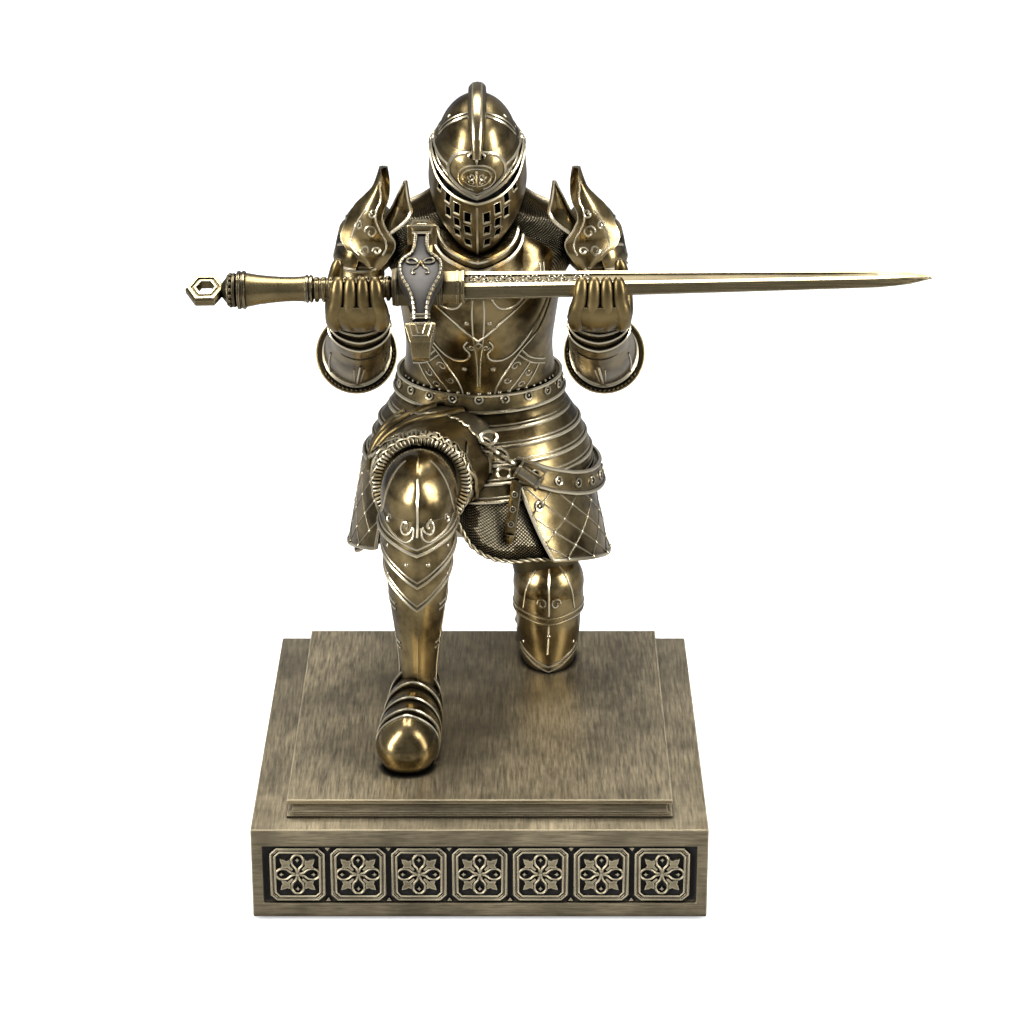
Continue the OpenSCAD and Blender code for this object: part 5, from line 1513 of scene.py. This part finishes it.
def prism(bm, x0, x1, radius, bevel=0.2):
    """An eight-sided collar along the sword with softened edges."""
    place = Matrix.Translation(((x0 + x1) / 2, 0, 0)) @ Matrix.Rotation(pi / 2, 4,
        "Y") @ Matrix.Rotation(pi / 8, 4, "Z")
    verts = bmesh.ops.create_cone(bm, cap_ends=True, segments=8, radius1=radius, radius2=radius, depth=x1 - x0,
        matrix=place)["verts"]
    edges = list({e for v in verts for e in v.link_edges})
    bmesh.ops.bevel(bm, geom=edges, offset=bevel, segments=2, profile=0.5, affect="EDGES", material=-1)


bm = fresh_mesh()
loops = []
for radius, z in ((5.15, -0.7), (5.15, 0.7), (4.6, 1.45), (3.9, 1.45), (3.75, 1.05), (3.1, 1.05), (2.95, 1.4),
        (2.5, 1.4),
                  (2.4, 0.9), (2.4, -0.9), (2.5, -1.4), (2.95, -1.4), (3.1, -1.05), (3.75, -1.05), (3.9, -1.45),
                  (4.6, -1.45)):
    place = Matrix.Translation((-55, 0, z)) @ Matrix.Rotation(pi / 6, 4, "Z")
    loops.append(ring_edges(bm, 6, place, radius)[1])
join_rings(bm, loops, closed=True)
sword_piece("pommel_hexagon", bm, hilt, ["pommel_ring"], "pommel_cap", sharp=20)

bm = fresh_mesh()
turned(bm, [(-50.9, 0), (-50.9, 1.7), (-50.5, 2.3), (-50.0, 2.9), (-49.7, 3.2), (-49.5, 3.9), (-49.2, 4.1),
    (-48.7, 3.9), (-48.5, 3.5), (-48.3, 4.1), (-48.0, 4.35), (-47.5, 4.35), (-47.15, 4.1), (-47.15, 1.9),
    (-40.2, 1.9), (-40.2, 0)])
for k in range(16):
    a = k * pi / 8
    bmesh.ops.create_uvsphere(bm, u_segments=8, v_segments=6, radius=0.62,
        matrix=Matrix.Translation((-48.6, 3.85 * sin(a), 3.85 * cos(a))))
sword_piece("pommel_beads", bm, hilt_dark, ["pommel_collar"], "pommel_cap")


# Grip. A waisted barrel between a double flange and a double ring, then a stack of turned ribs that the right
# hand holds. Each rib has a small bead on top where the binding is knotted. Turned brass with an antique
# finish.
bm = fresh_mesh()
turned(bm, [(-45.2, 1.3), (-45.2, 4.1), (-44.6, 4.35), (-43.6, 4.2), (-41.5, 3.8), (-38.5, 3.45), (-35.5, 3.2),
    (-32.5, 3.1), (-30.4, 3.2), (-29.6, 3.3), (-29.4, 3.0), (-29.4, 1.3)], 64)
sword_piece("grip_waist", bm, hilt, ["grip_barrel"])

bm = fresh_mesh()
turned(bm, [(-47, 4.0), (-47, 4.4), (-46.8, 4.85), (-46.2, 4.95), (-45.9, 4.6), (-45.7, 4.6), (-45.4, 4.9),
    (-44.9, 4.9), (-44.65, 4.55), (-44.65, 3.9)], 64)
turned(bm, [(-29.6, 2.5), (-29.6, 3.3), (-29.3, 3.6), (-28.9, 3.6), (-28.7, 3.2), (-28.5, 3.2), (-28.3, 3.55),
    (-27.9, 3.55), (-27.65, 3.2), (-27.65, 2.5)], 64)
sword_piece("grip_flanges", bm, polished, ["grip_rings"])

bm = fresh_mesh()
profile, rib = [(-27.7, 1.3), (-27.7, 2.6)], 20 / 11
for k in range(11):
    x = -27.6 + k * rib
    profile += [(x + 0.12 * rib, 2.62), (x + 0.25 * rib, 2.95), (x + 0.5 * rib, 3.05), (x + 0.75 * rib, 2.95),
        (x + 0.88 * rib, 2.62)]
turned(bm, profile + [(-7.6, 2.6), (-7.6, 1.3)], 48)
for k in range(11):
    x = -27.6 + (k + 0.5) * rib
    for a in (0.1, 2.0, 4.1):
        bmesh.ops.create_uvsphere(bm, u_segments=8, v_segments=6, radius=0.6,
            matrix=Matrix.Translation((x, 2.95 * sin(a), 2.95 * cos(a))))
sword_piece("grip_ribs", bm, hilt, ["grip_wrap"])


# Cross guard. An eight-sided block carries a bowed shield whose vase-shaped face is bordered by a raised chain;
# a faceted finial closes each end. Cast, with blue-grey plating on the face and rubbed bronze borders that carry
# a painted highlight.
guard_grey = aged_bronze("guard_blue_grey", (0.03, 0.029, 0.028), (0.085, 0.078, 0.07), (0.6, 0.53, 0.4), 0.5,
    metallic=0.8, patina=0.4)
bm = fresh_mesh()
prism(bm, -7.5, 5.35, 5.1, 0.35)
prism(bm, -6.6, -5.9, 5.3, 0.1)
prism(bm, 3.9, 4.7, 5.3, 0.1)
sword_piece("guard_octagon", bm, hilt_dark, ["guard_block"])

guard_face = [(-15.8, 3.9, 2.0), (-13.4, 5.0, 2.1), (-11, 6.1, 2.35), (-9.5, 6.7, 2.8), (-7.5, 7.25, 3.6),
    (-5.5, 7.7, 4.7), (-3.6, 8.05, 5.5), (-1.6, 8.2, 5.7), (0, 8.2, 5.7),
              (1.5, 8.2, 5.3), (2.8, 8.1, 4.1), (3.8, 7.95, 3.0), (5, 7.75, 2.5), (6.6, 7.4, 2.2),
              (8.4, 7.0, 2.05), (10.4, 6.3, 2.0), (13, 5.2, 2.0), (15.8, 3.9, 2.0)]
bm = fresh_mesh()
loops = []
for out, top, wide in guard_face:
    section = [(-wide, -3.6), (-wide, -0.5), (-wide + 0.3, 0), (-wide + 0.7, 0.05), (-wide + 0.9, -0.35),
        (wide - 0.9, -0.35), (wide - 0.7, 0.05), (wide - 0.3, 0), (wide, -0.5), (wide, -3.6),
        (wide - 0.6, -4.4), (-wide + 0.6, -4.4)]
    verts, edges = ring_edges(bm, len(section))
    for v, (x, z) in zip(verts, section):
        v.co = Vector((x, out, top + z))
    loops.append(edges)
join_rings(bm, loops)
sword_piece("guard_vase", bm, guard_grey, ["guard_shield"], sharp=25)

bm = fresh_mesh()
for s in (-1, 1):
    edge = even([(s * (wide - 0.5), out, top + 0.2) for out, top, wide in guard_face], 1.3)
    for a, b in zip(edge, edge[1:]):
        a, b = Vector(a), Vector(b)
        along = (b - a).normalized()
        middle = (a + b) / 2
        tube(bm, [middle - along * 0.6, middle - along * 0.42, middle + along * 0.42, middle + along * 0.6],
            [0.2, 0.42, 0.42, 0.2], sides=8)
    bow = [(s * 0.3, 0.6, 7.95), (s * 1.6, 1.9, 8.1), (s * 3.0, 2.0, 8.1), (s * 3.4, 0.9, 8.1),
        (s * 2.4, 0.3, 8.1), (s * 0.9, 0.5, 8.0)]
    tube(bm, through(bow, 4), 0.3, sides=6)
    tail = [(s * 0.3, 0.4, 7.9), (s * 0.9, -1.0, 8.0), (s * 1.9, -1.8, 8.0), (s * 2.0, -2.9, 7.95),
        (s * 1.3, -3.1, 7.9)]
    tube(bm, through(tail, 4), 0.26, sides=6)
    for out in (14.5, 15.3):
        tube(bm, [(-2.5, s * out, 4.65 - (out - 14.5) * 0.5), (2.5, s * out, 4.65 - (out - 14.5) * 0.5)], 0.36,
            sides=8)
bmesh.ops.create_uvsphere(bm, u_segments=10, v_segments=6, radius=0.75,
    matrix=Matrix.Translation((0, 0.5, 8.0)))
sword_piece("guard_chain_border", bm, polished, ())

bm = fresh_mesh()
for s in (-1, 1):
    loops = []
    droop = radians(-21 * s)
    for out, z, wide, deep in ((15.6, 1.9, 2.2, 2.1), (16.2, 2.2, 2.6, 2.3), (16.5, 2.2, 3.8, 2.75),
            (17.2, 1.95, 3.85, 2.8), (21.2, 0.5, 2.6, 2.3), (21.5, 0.2, 2.5, 2.2), (23.9, -1.8, 2.2, 1.2)):
        place = Matrix.Translation((0, s * out, z)) @ Matrix.Rotation(droop, 4,
            "X") @ Matrix.Diagonal((wide, 1, deep, 1)) @ Matrix.Rotation(pi / 2, 4,
            "X") @ Matrix.Rotation(pi / 4, 4, "Z")
        loops.append(ring_edges(bm, 4, place, math.sqrt(2))[1])
    join_rings(bm, loops)
edges = [e for e in bm.edges if e.calc_face_angle(0) > radians(30)]
bmesh.ops.bevel(bm, geom=edges, offset=0.22, segments=2, profile=0.5, affect="EDGES", material=-1)
skin = skin_of(bm)
for s in (-1, 1):
    frame_line = [(-2.9, s * 17.4, 6), (2.9, s * 17.4, 6), (1.9, s * 20.6, 5), (-1.9, s * 20.6, 5)]
    tube(bm, [skin.ray_cast(Vector((x, y, 12)), Vector((0, 0, -1)))[0] for x, y, z in frame_line], 0.3,
        closed=True, sides=6)
    wedge = [(-1.2, 17.9), (1.2, 17.9), (0.55, 20.0), (-0.55, 20.0)] if s < 0 else [(0, 20.0), (-1.2, 18.0),
        (1.2, 18.0)]
    tube(bm, [skin.ray_cast(Vector((x, s * y, 12)), Vector((0, 0, -1)))[0] for x, y in wedge], 0.26,
        closed=True, sides=6)
sword_piece("guard_finial_ends", bm, hilt, ["guard_finials"], sharp=25)


# Blade. A faceted sleeve on the guard, and a six-sided blade with an engraved fuller, which is the pen's cap.
# It pulls off lengthwise to bare the nib. Brushed and plated, with a band of scrolls near the guard.
blade_bronze = aged_bronze("blade_satin", (0.1, 0.076, 0.036), (0.3, 0.235, 0.125), (0.92, 0.82, 0.58), 0.24,
    patina=0.2)
tree = blade_bronze.node_tree
shader = tree.nodes["Principled BSDF"]
coord = add_node(tree, "ShaderNodeTexCoord")
drawn = add_node(tree, "ShaderNodeMapping", [(coord.outputs["Object"], "Vector")])
drawn.inputs["Scale"].default_value = (60, 2600, 2600)
brushing = add_node(tree, "ShaderNodeTexNoise", [(drawn.outputs["Vector"], "Vector")], Scale=1.0, Detail=4.0,
    Roughness=0.6)
tree.links.new(ramp(tree, brushing.outputs["Fac"], [(0.35, 0.16), (0.65, 0.42)]), shader.inputs["Roughness"])
bm = fresh_mesh()
prism(bm, 5.4, 8.9, 4.9)
for x in (8.7, 10.1):
    prism(bm, x, x + 0.8, 5.15, 0.25)
prism(bm, 9.3, 10.9, 4.8, 0.1)
for v in bm.verts:
    v.co.z *= 0.8
sword_piece("blade_collar", bm, hilt, ["blade_sleeve"], sharp=25)

stations = [(10.95, 4.6, 2.7, 2.5), (30, 4.35, 2.5, 2.3), (44, 4.2, 2.4, 2.2), (46, 4.15, 2.37, 2.18),
    (70, 3.85, 2.2, 1.95), (90, 3.6, 2.0, 1.8), (104, 3.4, 1.85, 1.65), (116, 3.15, 1.65, 1.5),
    (121, 2.6, 1.3, 1.3), (124, 2.1, 0.9, 1.1), (127.4, 1.1, 0.45, 0.6), (129.8, 0.3, 0.12, 0.22)]
bm = fresh_mesh()
loops = []
for x, w, f, t in stations:
    groove = 0.42 if x < 116 else 0.0
    half = 1.35 - 0.95 * max(0.0, x - 44) / 72 if x > 44 else 1.5
    half = min(half, f * 0.5)
    half_section = [(-w, 0.12), (-f, t), (-half - 0.22, t), (-half, t - groove), (half, t - groove),
        (half + 0.22, t), (f, t), (w, 0.12)]
    section = half_section + [(-a, -b) for a, b in half_section]
    verts, edges = ring_edges(bm, len(section))
    for v, (y, z) in zip(verts, section):
        v.co = Vector((x, y, z))
    loops.append(edges)
join_rings(bm, loops)
cap = sword_piece("blade_body", bm, blade_bronze, ["blade"], "sword_blade", sharp=15)
cap.data.materials.append(hilt_dark)
flat_of = in_sword.to_3x3() @ Vector((0, 0, 1))
middle_of = in_sword.to_3x3() @ Vector((0, 1, 0))
for face in cap.data.polygons:
    off = face.center / MM - Vector(sword_at)
    if abs(face.normal.dot(flat_of)) > 0.9 and abs(off.dot(middle_of)) < 0.3 and off.x < 117:
        face.material_index = 1

bm = fresh_mesh()
for face in (1, -1):
    x, hand = 13.2, 1
    while x < 42:
        t = 2.5 - (x - 11) * 0.0094 - 0.32
        tube(bm, spiral((x, 0.1 * hand, face * t), (1, 0, 0), (0, hand, 0), 1.35, 1.2, 1, 12), 0.22, sides=5)
        tube(bm, through([(x + 1.3, 0, face * t), (x + 1.9, hand * 1.2, face * t),
            (x + 2.9, hand * 1.3, face * t), (x + 3.3, 0.2 * hand, face * t)], 3), 0.2, sides=5)
        tube(bm, [(x + 2.3, -hand * 1.4, face * t), (x + 2.2, -hand * 0.5, face * t), (x + 2.9, 0, face * t)],
            [0.12, 0.26, 0.12], sides=5)
        x, hand = x + 3.3, -hand
sword_piece("blade_scrolls", bm, polished, (), "sword_blade")


# Pen core. A chromed nib holder in the sleeve and a brass ink refill with its point; both sit inside the blade
# until it is pulled off. Turned metal, whose forms the CAD nodes already have.
finish_node("nib_holder", plated("nib_chrome", 0.12, 1200.0, 2.0, (0.62, 0.62, 0.62), (0.8, 0.8, 0.79), 0.08,
    0.2))
finish_node("ink_refill", plated("refill_brass", 0.25, 1400.0, 2.0, (0.6, 0.42, 0.14), (0.76, 0.56, 0.22), 0.18,
    0.34))


# Studio. A pale sweep under the piece, one large soft light overhead, two at the sides and darker air above,
# so that the bronze shows long soft highlights and deep reflections. None of it is part of the object.
bm = bmesh.new()
bmesh.ops.create_grid(bm, x_segments=1, y_segments=1, size=6)
sweep_mesh = bpy.data.meshes.new("sweep")
bm.to_mesh(sweep_mesh)
bm.free()
sweep = bpy.data.objects.new("sweep", sweep_mesh)
bpy.context.scene.collection.objects.link(sweep)
paper, tree, shader = new_material("pale_paper", 0.0, 0.9)
seen = add_node(tree, "ShaderNodeLightPath")
tree.links.new(mix_colour(tree, seen.outputs["Is Camera Ray"], (0.26, 0.26, 0.26), (0.8, 0.8, 0.8)),
    shader.inputs["Base Color"])
glow = add_node(tree, "ShaderNodeMath", operation="MULTIPLY")
tree.links.new(seen.outputs["Is Camera Ray"], glow.inputs[0])
glow.inputs[1].default_value = 0.42
tree.links.new(glow.outputs["Value"], shader.inputs["Emission Strength"])
shader.inputs["Emission Color"].default_value = (1, 1, 1, 1)
sweep_mesh.materials.append(paper)

world = bpy.data.worlds.new("soft_air")
bpy.context.scene.world = world
world.use_nodes = True
world.node_tree.nodes["Background"].inputs["Color"].default_value = (0.9, 0.93, 1.0, 1)
world.node_tree.nodes["Background"].inputs["Strength"].default_value = 0.3


def soft_light(name, place, aim, width, height, power):
    """A rectangular soft box that looks at a point."""
    light = bpy.data.lights.new(name, "AREA")
    light.shape, light.size, light.size_y, light.energy = "RECTANGLE", width, height, power
    lamp = bpy.data.objects.new(name, light)
    lamp.location = place
    lamp.rotation_euler = (Vector(aim) - Vector(place)).to_track_quat("-Z", "Y").to_euler()
    bpy.context.scene.collection.objects.link(lamp)


soft_light("overhead", (0, 0.15, 1.0), (0, 0, 0.1), 0.8, 0.6, 14)
soft_light("left_box", (-0.8, -0.5, 0.5), (0, 0, 0.12), 0.28, 0.8, 12)
soft_light("right_box", (0.85, -0.4, 0.45), (0, 0, 0.12), 0.28, 0.8, 10)

camera = bpy.data.cameras.new("camera")
camera.lens, camera.sensor_width, camera.clip_start = 105.05, 36.0, 0.05
viewer = bpy.data.objects.new("camera", camera)
viewer.location = (0.008486, -0.751160, 0.400785)
viewer.rotation_euler = (radians(90 - 22.33), 0, 0)
bpy.context.scene.collection.objects.link(viewer)
bpy.context.scene.camera = viewer
bpy.context.scene.view_settings.view_transform = "Standard"
